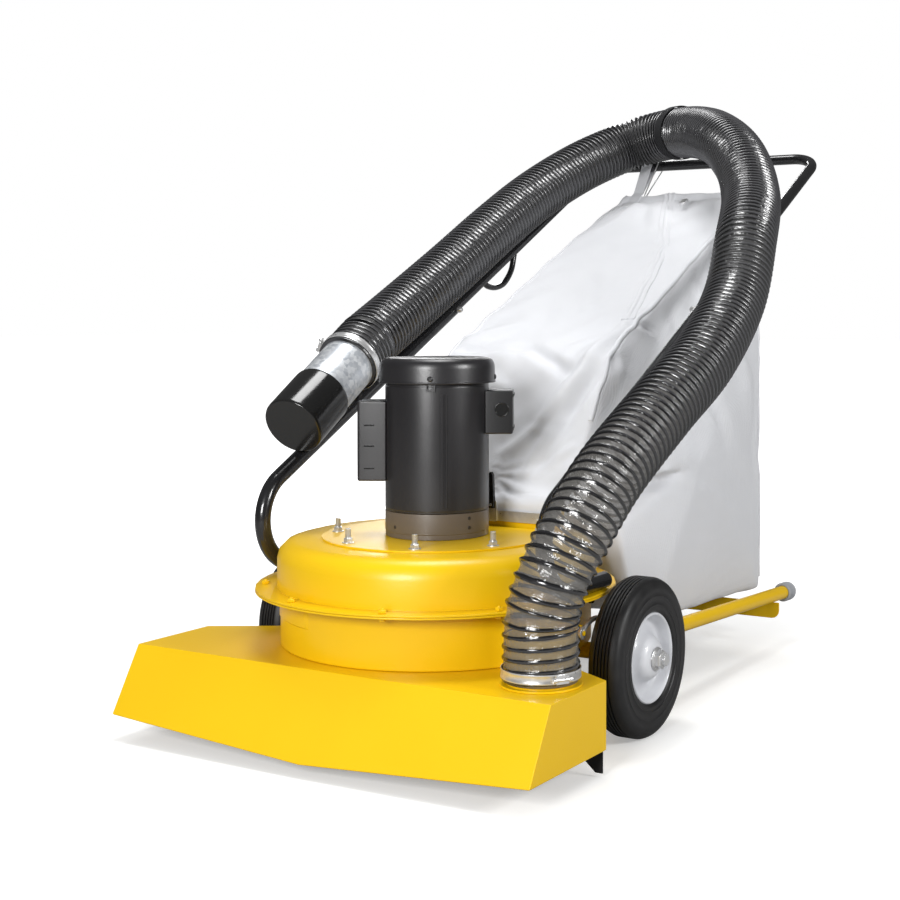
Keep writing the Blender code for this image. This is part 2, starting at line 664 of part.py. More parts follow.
def make_wheel(side, name):
    """Ribbed solid tyre on a pressed rim, turning on the axle."""
    spin = empty(f"wheel_{name}_axis", (side * WHEEL_X, AXLE_Y, WHEEL_R))
    half = TYRE_WIDE / 2
    outward = along((side, 0, 0))
    bead = (RIM_R + GAP) / math.cos(math.pi / WHEEL_SIDES)
    tread = WHEEL_R / math.cos(math.pi / WHEEL_SIDES)
    tyre = [(bead, -half + RIM_INSET), (RIM_R + 0.018, -half + 0.002), (WHEEL_R - 0.014, -half),
            (tread - 0.003, -half + 0.007), (tread, -half + 0.014), (tread, half - 0.014),
            (tread - 0.003, half - 0.007), (WHEEL_R - 0.014, half), (RIM_R + 0.018, half - 0.002),
            (bead, half - RIM_INSET)]
    turned(f"tyre_{name}", tyre, "rubber", turn=outward, parent=spin, sides=WHEEL_SIDES, offset=0.5)
    bore = AXLE_R + RUN
    web = 0.004
    rim = [(bore, -half + 0.002), (HUB_R, -half + 0.002), (HUB_R + 0.002, -0.004), (RIM_R - 0.012, 0.0),
           (RIM_R - 0.004, -half + RIM_INSET), (RIM_R, -half + RIM_INSET), (RIM_R, half - RIM_INSET),
           (RIM_R - 0.004, half - RIM_INSET), (RIM_R - 0.012, web), (HUB_R + 0.022, 0.010),
           (HUB_R + 0.004, half - 0.006), (HUB_R - 0.006, HUB_FACE), (bore, HUB_FACE)]
    turned(f"rim_{name}", rim, "white_paint", turn=outward, parent=spin, sides=WHEEL_SIDES)
    nut_in = HUB_FACE + RUN
    thread = (AXLE_R + GAP) / math.cos(math.pi / 6)
    nut = [(thread, nut_in), (0.0185, nut_in), (0.0185, nut_in + 0.0025), (0.0155, nut_in + 0.0028),
           (0.0155, nut_in + 0.013), (thread, nut_in + 0.013)]
    at = (side * WHEEL_X, AXLE_Y, WHEEL_R)
    turned(f"axle_nut_{name}", nut, "steel", at, outward, sides=6)
    return nut_in + 0.013


def make_chassis():
    """Axle in its cross tube, the two rails behind it, their caps and the rear cross plate."""
    reach = max(make_wheel(1, "right"), make_wheel(-1, "left"))
    axle_half = WHEEL_X + reach + 0.006
    across = along((1, 0, 0))
    hub_inner = WHEEL_X - TYRE_WIDE / 2
    tube_half = hub_inner - 0.004
    axle = [(0, -axle_half), (AXLE_R, -axle_half), (AXLE_R, axle_half), (0, axle_half)]
    turned("axle", axle, "steel", (0, AXLE_Y, WHEEL_R), across, sides=20)
    sleeve = tube_profile(AXLE_TUBE_R, AXLE_R + GAP, -tube_half, tube_half)
    turned("axle_tube", sleeve, "yellow", (0, AXLE_Y, WHEEL_R), across, sides=24)

    front_y = AXLE_Y
    rear_y, rear_z = RAIL_REAR
    front_z = rear_z + RAIL_FALL * (rear_y - front_y)
    direction = Vector((0, rear_y - front_y, rear_z - front_z)).normalized()
    for side, name in ((1, "right"), (-1, "left")):
        x = side * RAIL_X
        path = [(x, front_y, front_z), (x, rear_y, rear_z)]
        rail = swept(f"rail_{name}", path, RAIL_R, RAIL_R - RAIL_WALL, "yellow", 20)
        reach = AXLE_TUBE_R + GAP
        cope = [(0, x - 0.03), (reach, x - 0.03), (reach, x + 0.03), (0, x + 0.03)]
        cutter = turned(f"rail_{name}_cope", cope, "yellow", (0, AXLE_Y, WHEEL_R), across, sides=24)
        change(rail, cutter, "DIFFERENCE")
        block = prism(f"rail_{name}_trim", [(x - 0.03, AXLE_Y - 0.05), (x + 0.03, AXLE_Y - 0.05),
                                            (x + 0.03, AXLE_Y), (x - 0.03, AXLE_Y)], 0.05, 0.20, "yellow")
        change(rail, block, "DIFFERENCE")
        cap_start = Vector((x, rear_y, rear_z)) - direction * (RAIL_CAP_LONG - 0.006)
        inner = RAIL_R + GAP
        cap = [(inner, 0), (RAIL_CAP_R, 0), (RAIL_CAP_R, RAIL_CAP_LONG - 0.003),
               (RAIL_CAP_R - 0.003, RAIL_CAP_LONG),
               (0, RAIL_CAP_LONG), (0, RAIL_CAP_LONG - 0.006 + GAP), (inner, RAIL_CAP_LONG - 0.006 + GAP)]
        turned(f"rail_cap_{name}", cap, "grey_rubber", cap_start, along(direction), sides=20)

    plate_top = front_z - RAIL_FALL * (CROSS_PLATE_Y - AXLE_Y) - RAIL_R - GAP - 0.0002
    half = RAIL_X + RAIL_R
    radius = 0.016
    outline = [(half, plate_top), (-half, plate_top)]
    outline += arc((-half + radius, plate_top - CROSS_PLATE_TALL + radius), radius, 180, 270, 4)
    outline += arc((half - radius, plate_top - CROSS_PLATE_TALL + radius), radius, 270, 360, 4)
    prism("cross_plate", outline, -SHEET / 2, SHEET / 2, "yellow", (0, CROSS_PLATE_Y, 0),
          along((0, -1, 0)))


def leg_height(y):
    """Height of the handle's straight run at that distance behind the shaft."""
    return leg_base + LEG_RISE * y


stub_z = FLANGE_Z + GAP / 2 + SHEET + GAP + LEG_R
bend_z = stub_z + BEND_R
bend_end = 90 + math.degrees(math.atan(LEG_RISE))
leg_start = (BEND_Y + BEND_R * math.cos(math.radians(bend_end)),
             bend_z + BEND_R * math.sin(math.radians(bend_end)))
leg_base = leg_start[1] - LEG_RISE * leg_start[0]


def make_handle():
    """Two bent legs on the housing's flange and the U-shaped grip that slides into them."""
    for side, name in ((1, "right"), (-1, "left")):
        x = side * LEG_X
        bend = arc((BEND_Y, bend_z), BEND_R, 270, bend_end, 7)
        path = [(x, STUB_END, stub_z)] + [(x, y, z) for y, z in bend] + [(x, LEG_END, leg_height(LEG_END))]
        swept(f"handle_leg_{name}", path, LEG_R, LEG_R - LEG_WALL, "black_paint", 12)
    slope = Vector((0, 1, LEG_RISE)).normalized()
    start = LEG_END - LEG_OVERLAP
    back = GRIP_BACK
    right = []
    left = []
    for k in range(5):
        angle = math.radians(90 * k / 4)
        inward = GRIP_CORNER * (1 - math.cos(angle))
        ahead = GRIP_CORNER * math.sin(angle)
        spot = back - (GRIP_CORNER - ahead) * slope.y
        right.append((LEG_X - inward, spot, leg_height(spot)))
        left.append((-LEG_X + inward, spot, leg_height(spot)))
    path = [(LEG_X, start, leg_height(start))] + right + left[::-1] + [(-LEG_X, start, leg_height(start))]
    grip = swept("handle_grip", path, GRIP_R, GRIP_R - GRIP_WALL, "black_paint", 12)
    spot = LEG_END - BOLT_INSET
    for side, name in ((1, "right"), (-1, "left")):
        at = (side * LEG_X, spot, leg_height(spot))
        bolt = bolt_profile(-LEG_R - GAP, LEG_R + GAP)
        turned(f"leg_bolt_{name}", bolt, "steel", at, along((side, 0, 0)), sides=12)
        hole = [(0, -0.03), (BOLT_R + GAP, -0.03), (BOLT_R + GAP, 0.03), (0, 0.03)]
        cutter = turned(f"leg_bolt_hole_{name}", hole, "steel", at, along((side, 0, 0)), sides=12)
        change(bpy.data.objects[f"handle_leg_{name}"], cutter, "DIFFERENCE")
        change(grip, cutter, "DIFFERENCE")

        foot = FLANGE_Z - GAP / 2 - SHEET - GAP
        at = (side * LEG_X, STUB_BOLT_Y, 0)
        turned(f"stub_bolt_{name}", bolt_profile(foot, stub_z + LEG_R + GAP), "black_paint", at, sides=12)
        hole = [(0, foot - 0.01), (BOLT_R + GAP, foot - 0.01), (BOLT_R + GAP, stub_z + 0.03),
                (0, stub_z + 0.03)]
        cutter = turned(f"stub_bolt_hole_{name}", hole, "steel", at, sides=12)
        for through in (f"handle_leg_{name}", "housing_lower", "housing_upper"):
            change(bpy.data.objects[through], cutter, "DIFFERENCE")


def bolt_profile(low, high):
    """Section of a bolt whose nut and head bear on two faces at those heights."""
    head = 0.0062
    return [(0, low - 0.011), (0.004, low - 0.010), (head, low - 0.006), (head, low), (BOLT_R, low),
            (BOLT_R, high), (head, high), (head, high + 0.004), (0, high + 0.004)]


# ---------------------------------------------------------------- chute, bag and neck

def make_neck():
    """Discharge chute on the housing, the band round the bag's neck and its cam lever."""
    base = HOUSING_TOP + GAP
    outline = [(x, CHUTE_FRONT + y) for x, y in CHUTE_OUTLINE]
    inner = [(x, CHUTE_FRONT + y) for x, y in shrink(CHUTE_OUTLINE, SHEET)]
    ring_prism("discharge_chute", outline, inner, base, base + CHUTE_TALL, "yellow")

    neck = [(x, CHUTE_FRONT + y) for x, y in shrink(CHUTE_OUTLINE, -(BAG_CLEAR + BAG_WALL + GAP))]
    band = [(x, CHUTE_FRONT + y) for x, y in shrink(CHUTE_OUTLINE,
                                                    -(BAG_CLEAR + BAG_WALL + GAP + BAND_THICK))]
    band_low = base + 0.012
    strap = ring_prism("neck_band", band, neck, band_low, band_low + BAND_TALL, "steel")
    front = CHUTE_FRONT - BAG_CLEAR - BAG_WALL - GAP - BAND_THICK
    pivot_z = band_low + BAND_TALL + 0.010
    tab = rounded_box(0.016, BAND_TALL + 0.018, 0.003, 2)
    plate = prism("neck_tab", tab, -0.0005, 0.0025, "steel",
                  (LATCH_X, front, band_low + BAND_TALL / 2 + 0.008), along((0, -1, 0)))
    change(strap, plate, "UNION")
    pin_back = 0.004
    pin = turned("neck_pin", [(0, -pin_back), (0.0025, -pin_back), (0.0025, 0.008), (0, 0.008)], "steel",
                 (LATCH_X, front - 0.002, pivot_z), along((0, -1, 0)), sides=12)
    change(strap, pin, "UNION")

    pivot = empty("neck_lever_axis", (LATCH_X, front - 0.002 - 0.0005 - GAP, pivot_z))
    body = [(-0.0055, -0.006), (0.0055, -0.006), (0.0060, 0.010), (0.0045, LATCH_LONG),
            (0.0015, LATCH_LONG + 0.006),
            (-0.0015, LATCH_LONG + 0.006), (-0.0045, LATCH_LONG), (-0.0060, 0.010)]
    lever = prism("neck_lever", body, 0, 0.006, "black_plastic", turn=facing_front(), parent=pivot)
    bore = turned("neck_lever_bore", [(0, -0.01), (0.0025 + RUN, -0.01), (0.0025 + RUN, 0.02), (0, 0.02)],
                  "steel",
                  turn=facing_front(), parent=pivot, sides=12)
    change(lever, bore, "DIFFERENCE")


def facing_front():
    """Stands an outline upright, facing the nozzle: its X along X, its Y along Z."""
    return matrix_turn([(1, 0, 0), (0, 0, -1), (0, 1, 0)])


def bag_solid(name, inset, neck_low, neck_high, colour="cloth"):
    """The bag as a solid, smaller all round by the inset, with its neck between two heights."""
    neck = [(x, CHUTE_FRONT + y) for x, y in shrink(CHUTE_OUTLINE, inset - BAG_CLEAR - BAG_WALL)]
    front, rear = neck[0][1], neck[3][1]
    side = [(front, neck_high)] + [(y, z) for y, z, _, _ in BAG_OUTLINE] + [(rear, neck_high)]
    inside = shrink(side, -inset)[1:-1] if inset else side[1:-1]
    points = [(x, y, neck_low) for x, y in neck] + [(x, y, neck_high) for x, y in neck]
    faces = [[k, (k + 1) % 6, 6 + (k + 1) % 6, 6 + k] for k in range(6)] + [list(range(6))]
    first = len(points)
    for (y, z), (_, _, left, right) in zip(inside, BAG_OUTLINE):
        points.append((left + inset, y, z))
        points.append((right - inset, y, z))
    last = first + 2 * (len(inside) - 1)
    faces += [[a, a + 1, a + 3, a + 2] for a in range(first, last, 2)]
    # the neck's upper corners: 6 and 7 in front, 8 on the right, 9 and 10 behind, 11 on the left
    faces.append([6, 7, first + 1, first])
    faces.append([9, 10, last, last + 1])
    bulge_x, bulge_y, bulge_z = BAG_BULGE
    for right, chain in ((1, [7, 8, 9]), (0, [6, 11, 10])):
        apex = len(points)
        points.append(((bulge_x - inset) * (1 if right else -1), bulge_y, bulge_z))
        loop = chain + [k + right for k in range(last, first - 1, -2)]
        faces += [[a, b, apex] for a, b in zip(loop, loop[1:] + loop[:1])]
    return mesh_object(name, points, faces, colour)


def make_bag():
    """Cloth bag: a neck sleeve over the chute and a wide body down to the rails."""
    base = HOUSING_TOP + GAP
    low, high = base + 0.004, base + CHUTE_TALL + 0.004
    bag = bag_solid("bag", 0.0, low, high)
    space = bag_solid("bag_space", BAG_WALL, low - 0.02, high)
    change(bag, space, "DIFFERENCE")

    top_y, top_z, _, _ = BAG_OUTLINE[4]
    bar_z = leg_height(GRIP_BACK)
    end = Vector((top_y - 0.006, top_z + GAP + 0.0005))
    bar = Vector((GRIP_BACK, bar_z))
    away = math.degrees(math.atan2(end.y - bar.y, end.x - bar.x)) + 360
    snug = (GRIP_R + GAP) / math.cos(math.radians(14))
    inner = arc(bar, snug, away - 278, away - 82, 8) + [tuple(end + (bar - end).normalized() * 0.018)]
    outer = arc(bar, snug + STRAP_THICK, away - 278, away - 82, 8) + [tuple(end)]
    ring_prism("bag_strap", outer, inner, STRAP_X - STRAP_WIDE / 2, STRAP_X + STRAP_WIDE / 2, "cloth",
               turn=across_x())

    (low_y, low_z, _, _), (high_y, high_z, _, _) = BAG_OUTLINE[2:4]
    slope = Vector((0, high_y - low_y, high_z - low_z)).normalized()
    up = Vector((0, -slope.z, slope.y))
    start = Vector((ZIP_X, high_y, high_z)) - slope * ZIP_START + up * GAP
    puller = rounded_box(0.014, 0.024, 0.004, 2)
    rows = [(1, slope[k], up[k]) if k == 0 else (0, slope[k], up[k]) for k in range(3)]
    prism("zip_slider", puller, 0, 0.006, "steel", tuple(start), matrix_turn(rows))


# ---------------------------------------------------------------- hose

def make_hose():
    """Collar on the nozzle, the free hose, its cuffs and clamps, and the parked wand."""
    collar_low = NOZZLE_TOP + GAP
    collar_top = collar_low + COLLAR_TALL
    inner = PIPE_R - SHEET
    collar = [(inner, collar_low), (COLLAR_FLANGE_R, collar_low), (COLLAR_FLANGE_R, collar_low + SHEET),
              (PIPE_R, collar_low + SHEET), (PIPE_R, collar_top), (inner, collar_top)]
    spot = (*COLLAR, 0)
    turned("hose_collar", collar, "yellow", spot, sides=24)
    cuff_low = collar_low + SHEET + 0.003
    turned("hose_cuff_lower", tube_profile(HOSE_R, PIPE_R + GAP, cuff_low, collar_top), "black_plastic",
           spot, sides=24)
    clamp("hose_clamp_lower", spot, UPRIGHT, cuff_low + 0.006, -30)

    tip, top = Vector(WAND_TIP), Vector(WAND_TOP)
    axis = (top - tip).normalized()
    long = (top - tip).length
    turn = along(axis)
    wall = 0.003
    wand = tube_profile(PIPE_R, PIPE_R - PIPE_WALL, wall + GAP, long)
    turned("wand", wand, "galvanised", tip, turn, sides=24)
    slide = empty("end_cap_axis", tip)
    cap = [(0, 0), (PIPE_R + 0.001, 0), (PIPE_R + 0.003, 0.002), (PIPE_R + 0.003, END_CAP_LONG),
           (PIPE_R + RUN, END_CAP_LONG), (PIPE_R + RUN, wall), (0, wall)]
    turned("wand_cap", cap, "black_plastic", turn=turn, parent=slide, sides=24)
    cuff = tube_profile(HOSE_R, PIPE_R + GAP, long - CUFF_LONG, long)
    turned("hose_cuff_upper", cuff, "black_plastic", tip, turn, sides=24)
    clamp("hose_clamp_upper", tip, turn, long - CUFF_LONG + 0.006, -140)

    start = Vector((*COLLAR, collar_top + GAP))
    end = top + axis * GAP
    route = [start, start + Vector((0, 0, 0.014))] + [Vector(p) for p in HOSE_ROUTE]
    route += [end + axis * 0.014, end]
    middle = smooth_route(route[1:-1], HOSE_STEP)
    line = [tuple(start)] + [tuple(p) for p in middle] + [tuple(end)]
    curve = bpy.data.curves.new("hose", "CURVE")
    curve.dimensions = "3D"
    spline = curve.splines.new("POLY")
    spline.points.add(len(line) - 1)
    for point, spot in zip(spline.points, line):
        point.co = (*spot, 1)
    curve.bevel_depth = HOSE_R
    curve.bevel_resolution = 3
    curve.use_fill_caps = True
    place("hose", curve, "black_plastic", (0, 0, 0), UPRIGHT, machine)

    crest = min(range(len(line) - 1), key=lambda k: abs(line[k][0] + line[k + 1][0]))
    one, two = Vector(line[crest]), Vector(line[crest + 1])
    inner = (HOSE_R + GAP) / math.cos(math.pi / 24)
    band = tube_profile(inner + STRAP_THICK, inner, -STRAP_WIDE / 2, STRAP_WIDE / 2)
    turned("hose_strap", band, "webbing", (one + two) / 2, along(two - one), sides=24)


def clamp(name, at, turn, low, degrees):
    """Worm-drive band clamp round a hose cuff, with its screw housing."""
    inner = HOSE_R + GAP
    band = turned(name, tube_profile(inner + CLAMP_THICK, inner, low, low + CLAMP_TALL), "steel", at,
                  turn, sides=24)
    angle = math.radians(degrees)
    centre = Vector((math.cos(angle), math.sin(angle), 0)) * (inner + CLAMP_THICK + 0.004)
    centre.z = low + CLAMP_TALL / 2
    outline = rounded_box(0.010, 0.024, 0.003, 2)
    spun = turn @ Vector((1, 0, 0)).rotation_difference(Vector((math.cos(angle), math.sin(angle), 0)))
    screw = prism(f"{name}_screw", outline, -CLAMP_TALL / 2 + 0.001, CLAMP_TALL / 2 - 0.001, "steel",
                  Vector(at) + turn @ centre, spun)
    change(band, screw, "UNION")


# ---------------------------------------------------------------- side lever

def make_lever():
    """Small bright lever on a yellow boss, between the housing and the right wheel."""
    boss_end = LEVER_X - GAP
    outline = rounded_box(0.022, 0.022, 0.005, 2)
    boss = prism("lever_bracket", outline, HOUSING_R - 0.020, boss_end, "yellow", (0, LEVER_Y, LEVER_Z),
                 across_x())
    pin = turned("lever_pin", [(0, -0.004), (0.004, -0.004), (0.004, 0.0095), (0, 0.0095)], "steel",
                 (boss_end, LEVER_Y, LEVER_Z), along((1, 0, 0)), sides=12)
    change(boss, pin, "UNION")
    wall = turned("lever_bracket_cutter", [(0, 0.1), (HOUSING_R + GAP, 0.1), (HOUSING_R + GAP, 0.22),
                                           (0, 0.22)],
                  "yellow", sides=ROUND)
    change(boss, wall, "DIFFERENCE")
    pivot = empty("side_lever_axis", (LEVER_X, LEVER_Y, LEVER_Z))
    shape = [(-0.009, -0.004), (-0.004, -0.009), (0.006, -0.006), (0.028, 0.010), (0.050, 0.011),
             (0.068, 0.002),
             (LEVER_LONG, -0.010), (LEVER_LONG + 0.006, -0.006), (0.073, 0.009), (0.052, 0.019),
             (0.026, 0.018),
             (0.004, 0.009), (-0.005, 0.008), (-0.009, 0.004)]
    lever = prism("side_lever", shape, 0, 0.0075, "steel", turn=across_x(), parent=pivot)
    bore = turned("side_lever_bore", [(0, -0.01), (0.004 + RUN, -0.01), (0.004 + RUN, 0.02), (0, 0.02)],
                  "steel",
                  turn=along((1, 0, 0)), parent=pivot, sides=12)
    change(lever, bore, "DIFFERENCE")


# ---------------------------------------------------------------- the whole machine

for old in list(bpy.data.objects):
    bpy.data.objects.remove(old, do_unlink=True)

machine = bpy.data.objects.new("machine", None)
bpy.context.scene.collection.objects.link(machine)
machine.location = (0, SHAFT_Y, 0)

make_nozzle()
make_caster()
motor_plate_top = make_housing()
make_rotor(empty("fan_axis", (0, 0, 0)), motor_plate_top)
make_motor(motor_plate_top)
make_chassis()
make_handle()
make_neck()
make_bag()
make_hose()
make_lever()
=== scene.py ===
"""The finished look of a walk-behind floor vacuum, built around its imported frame."""
import json
import math

import bmesh
import bpy
import numpy as np
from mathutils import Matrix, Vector
from mathutils.bvhtree import BVHTree


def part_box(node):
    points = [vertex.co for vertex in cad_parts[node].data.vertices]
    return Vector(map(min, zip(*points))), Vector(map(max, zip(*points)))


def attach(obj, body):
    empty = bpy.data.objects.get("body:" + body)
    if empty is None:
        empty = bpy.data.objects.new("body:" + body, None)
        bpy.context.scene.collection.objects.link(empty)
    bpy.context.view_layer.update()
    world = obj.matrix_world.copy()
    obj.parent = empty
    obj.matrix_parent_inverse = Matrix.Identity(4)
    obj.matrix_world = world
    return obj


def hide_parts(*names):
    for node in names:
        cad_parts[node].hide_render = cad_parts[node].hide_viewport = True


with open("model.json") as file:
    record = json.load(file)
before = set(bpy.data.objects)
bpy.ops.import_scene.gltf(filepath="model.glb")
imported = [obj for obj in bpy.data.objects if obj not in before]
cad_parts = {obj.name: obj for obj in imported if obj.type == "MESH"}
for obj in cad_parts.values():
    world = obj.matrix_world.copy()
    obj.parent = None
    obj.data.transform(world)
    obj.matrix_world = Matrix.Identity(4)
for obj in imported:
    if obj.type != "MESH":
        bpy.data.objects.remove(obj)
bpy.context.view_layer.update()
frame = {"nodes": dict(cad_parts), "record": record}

joints = {joint["name"]: joint for joint in frame["record"]["behaviour"]["joints"]}

# ---------------------------------------------------------------- studio
# A pale studio floor with four square soft lamps: the key low at the front, a weaker fill on the right,
# one overhead and one behind on the left. The camera stands low at the front right corner of the machine.

shaft_y = joints["fan_spin"]["pos_m"][1]


def at(x, y, z):
    """A point given from the foot of the fan shaft, in the machine's frame."""
    return np.array([x, y + shaft_y, z], float)


scene = bpy.context.scene
scene.view_settings.view_transform = "Standard"

lens = bpy.data.cameras.new("camera")
lens.lens = 60.35
lens.sensor_width = 36
lens.shift_x = -0.1436
lens.shift_y = -0.1456
camera = bpy.data.objects.new("camera", lens)
scene.collection.objects.link(camera)
camera.location = at(1.4318, -2.0551, 0.6789)
camera.rotation_euler = (math.radians(90 - 0.3121), 0, math.radians(29.4858))
scene.camera = camera


def lamp(name, place, aim, size, power):
    """A square soft lamp at a place, turned to face a point."""
    light = bpy.data.lights.new(name, "AREA")
    light.size = size
    light.energy = power
    holder = bpy.data.objects.new(name, light)
    scene.collection.objects.link(holder)
    holder.location = place
    holder.rotation_euler = (Vector(aim) - Vector(place)).to_track_quat("-Z", "Y").to_euler()


lamp("key_lamp", (0.55, -3.3, 1.25), (0, 0, 0.4), 0.9, 74)
lamp("fill_lamp", (3.3, -0.4, 1.7), (0, 0, 0.5), 0.8, 62)
lamp("top_lamp", (-0.3, 0.1, 3.4), (0, 0, 0.5), 1.2, 54)
lamp("back_lamp", (-2.0, 2.9, 2.0), (0, 0, 0.5), 1.2, 46)


class Value:
    """A number that varies over a surface. Sums and products of values add Math nodes."""

    def __init__(self, finish, socket):
        self.finish = finish
        self.socket = socket

    def math(self, operation, *others):
        return self.finish.node("ShaderNodeMath", {"operation": operation}, [self, *others])

    def __add__(self, other):
        return self.math("ADD", other)

    def __sub__(self, other):
        return self.math("SUBTRACT", other)

    def __mul__(self, other):
        return self.math("MULTIPLY", other)

    def __truediv__(self, other):
        return self.math("DIVIDE", other)

    def __rsub__(self, other):
        return self.finish.node("ShaderNodeMath", {"operation": "SUBTRACT"}, [other, self])

    __radd__ = __add__
    __rmul__ = __mul__

    def clamp(self):
        return self.finish.node("ShaderNodeClamp", {}, [self])


class Finish:
    """A material under construction, with the nodes it is made of."""

    def __init__(self, name, colour, roughness=0.5, metallic=0.0, **fixed):
        self.material = bpy.data.materials.new(name)
        self.material.use_nodes = True
        self.tree = self.material.node_tree
        self.shader = self.tree.nodes["Principled BSDF"]
        self.put("Base Color", colour)
        self.put("Roughness", roughness)
        self.put("Metallic", metallic)
        for socket, value in fixed.items():
            self.put(socket.replace("_", " ").title().replace("Ior", "IOR"), value)

    def put(self, socket, value):
        """Sets or links one socket of the Principled shader."""
        self.join(value, self.shader.inputs[socket])

    def join(self, value, socket):
        if isinstance(value, Value):
            self.tree.links.new(value.socket, socket)
        elif isinstance(value, (tuple, list)) and socket.type == "RGBA" and len(value) == 3:
            socket.default_value = (*value, 1.0)
        else:
            socket.default_value = value

    def node(self, kind, settings, inputs=(), output=0):
        """One node of that type: its settings first, then the values or links of its sockets."""
        made = self.tree.nodes.new(kind)
        for name, value in settings.items():
            if name == "stops":
                ramp = made.color_ramp.elements
                while len(ramp) < len(value):
                    ramp.new(0.5)
                for element, (position, colour) in zip(ramp, value):
                    element.position = position
                    element.color = (*colour, 1.0) if len(colour) == 3 else colour
            else:
                setattr(made, name, value)
        pairs = inputs.items() if isinstance(inputs, dict) else enumerate(inputs)
        for key, value in pairs:
            self.join(value, made.inputs[key])
        return Value(self, made.outputs[output])

    def place(self, scale=(1, 1, 1), turn=(0, 0, 0), move=(0, 0, 0)):
        """Object coordinates, moved, turned and scaled."""
        where = self.node("ShaderNodeTexCoord", {}, output="Object")
        return self.node("ShaderNodeMapping", {"vector_type": "POINT"},
                         {"Vector": where, "Location": move, "Rotation": turn, "Scale": scale})

    def attribute(self, name, output="Fac"):
        return self.node("ShaderNodeAttribute", {"attribute_name": name}, output=output)

    def noise(self, scale, detail=3.0, where=None, roughness=0.5):
        where = where or self.place()
        return self.node("ShaderNodeTexNoise", {},
                         {"Vector": where, "Scale": scale, "Detail": detail, "Roughness": roughness}, "Fac")

    def mix(self, factor, one, two):
        """Two colours mixed by a factor."""
        return self.node("ShaderNodeMix", {"data_type": "RGBA"}, {0: factor, 6: one, 7: two}, 2)

    def bump(self, height, distance, strength=1.0):
        """Feeds the shader's Normal from a height in a Bump node."""
        normal = self.node("ShaderNodeBump", {}, {"Height": height, "Distance": distance,
                                                  "Strength": strength})
        self.put("Normal", normal)
        return self


def stage_finish():
    """Pale floor that reads as white to the camera and still takes the machine's shadow."""
    made = Finish("studio_floor", (0.80, 0.80, 0.79), 0.9)
    rays = made.tree.nodes.new("ShaderNodeLightPath")
    seen = Value(made, rays.outputs["Is Camera Ray"])
    away = made.node("ShaderNodeVectorMath", {"operation": "LENGTH"}, [made.place()], 1)
    far = ((away - 1.1) * 0.7).clamp()
    made.put("Base Color", made.mix(seen, (0.34, 0.34, 0.34), (0.80, 0.80, 0.79)))
    made.put("Emission Color", made.mix(seen * (0.34 + far * 0.66), (0.0, 0.0, 0.0), (1.0, 1.0, 1.0)))
    made.put("Emission Strength", 1.0)
    return made.material


floor_mesh = bpy.data.meshes.new("studio_floor")
floor_mesh.from_pydata([(-30, -30, 0), (30, -30, 0), (30, 30, 0), (-30, 30, 0)], [], [(0, 1, 2, 3)])
floor_mesh.materials.append(stage_finish())
floor = bpy.data.objects.new("studio_floor", floor_mesh)
scene.collection.objects.link(floor)

world = bpy.data.worlds.new("studio")
scene.world = world
world.use_nodes = True
sky = world.node_tree
background = sky.nodes["Background"]
rays = sky.nodes.new("ShaderNodeLightPath")
either = sky.nodes.new("ShaderNodeMath")
either.operation = "MAXIMUM"
sky.links.new(rays.outputs["Is Camera Ray"], either.inputs[0])
sky.links.new(rays.outputs["Is Transmission Ray"], either.inputs[1])
dull = sky.nodes.new("ShaderNodeMapRange")
dull.inputs["To Min"].default_value = 0.40
dull.inputs["To Max"].default_value = 0.10
sky.links.new(rays.outputs["Is Glossy Ray"], dull.inputs["Value"])
level = sky.nodes.new("ShaderNodeMapRange")
level.inputs["To Max"].default_value = 1.0
sky.links.new(dull.outputs[0], level.inputs["To Min"])
sky.links.new(either.outputs[0], level.inputs["Value"])
sky.links.new(level.outputs[0], background.inputs["Strength"])
background.inputs["Color"].default_value = (1.0, 1.0, 1.0, 1.0)

# ---------------------------------------------------------------- hose
# Black vinyl film over a spring-steel helix, 4 in inside. It is stretched where it climbs
# from the nozzle, so the film thins and lets light through, and packed close along the handle.


def mesh_piece(name, points, faces, finish, body, smooth=40.0, flip=True):
    """A finished piece from points in the machine's frame: shaded, in its material, on its body."""
    mesh = bpy.data.meshes.new(name)
    mesh.from_pydata(np.asarray(points, float).reshape(-1, 3).tolist(), [],
                     [tuple(int(i) for i in f) for f in faces])
    if flip:
        shape = bmesh.new()
        shape.from_mesh(mesh)
        bmesh.ops.remove_doubles(shape, verts=shape.verts, dist=1e-6)
        bmesh.ops.recalc_face_normals(shape, faces=shape.faces)
        shape.to_mesh(mesh)
        shape.free()
    mesh.shade_smooth()
    if smooth < 180:
        mesh.set_sharp_from_angle(angle=math.radians(smooth))
    mesh.materials.append(finish.material)
    made = bpy.data.objects.new(name, mesh)
    scene.collection.objects.link(made)
    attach(made, body)
    return made


def grid_faces(rows, columns, wrap_rows, wrap_columns):
    """Corner numbers of the quads of a grid, which may close on itself either way."""
    r = np.arange(rows if wrap_rows else rows - 1)[:, None]
    c = np.arange(columns if wrap_columns else columns - 1)[None, :]
    r2, c2 = (r + 1) % rows, (c + 1) % columns
    corners = np.stack([r * columns + c, r * columns + c2, r2 * columns + c2, r2 * columns + c], axis=-1)
    return corners.reshape(-1, 4)


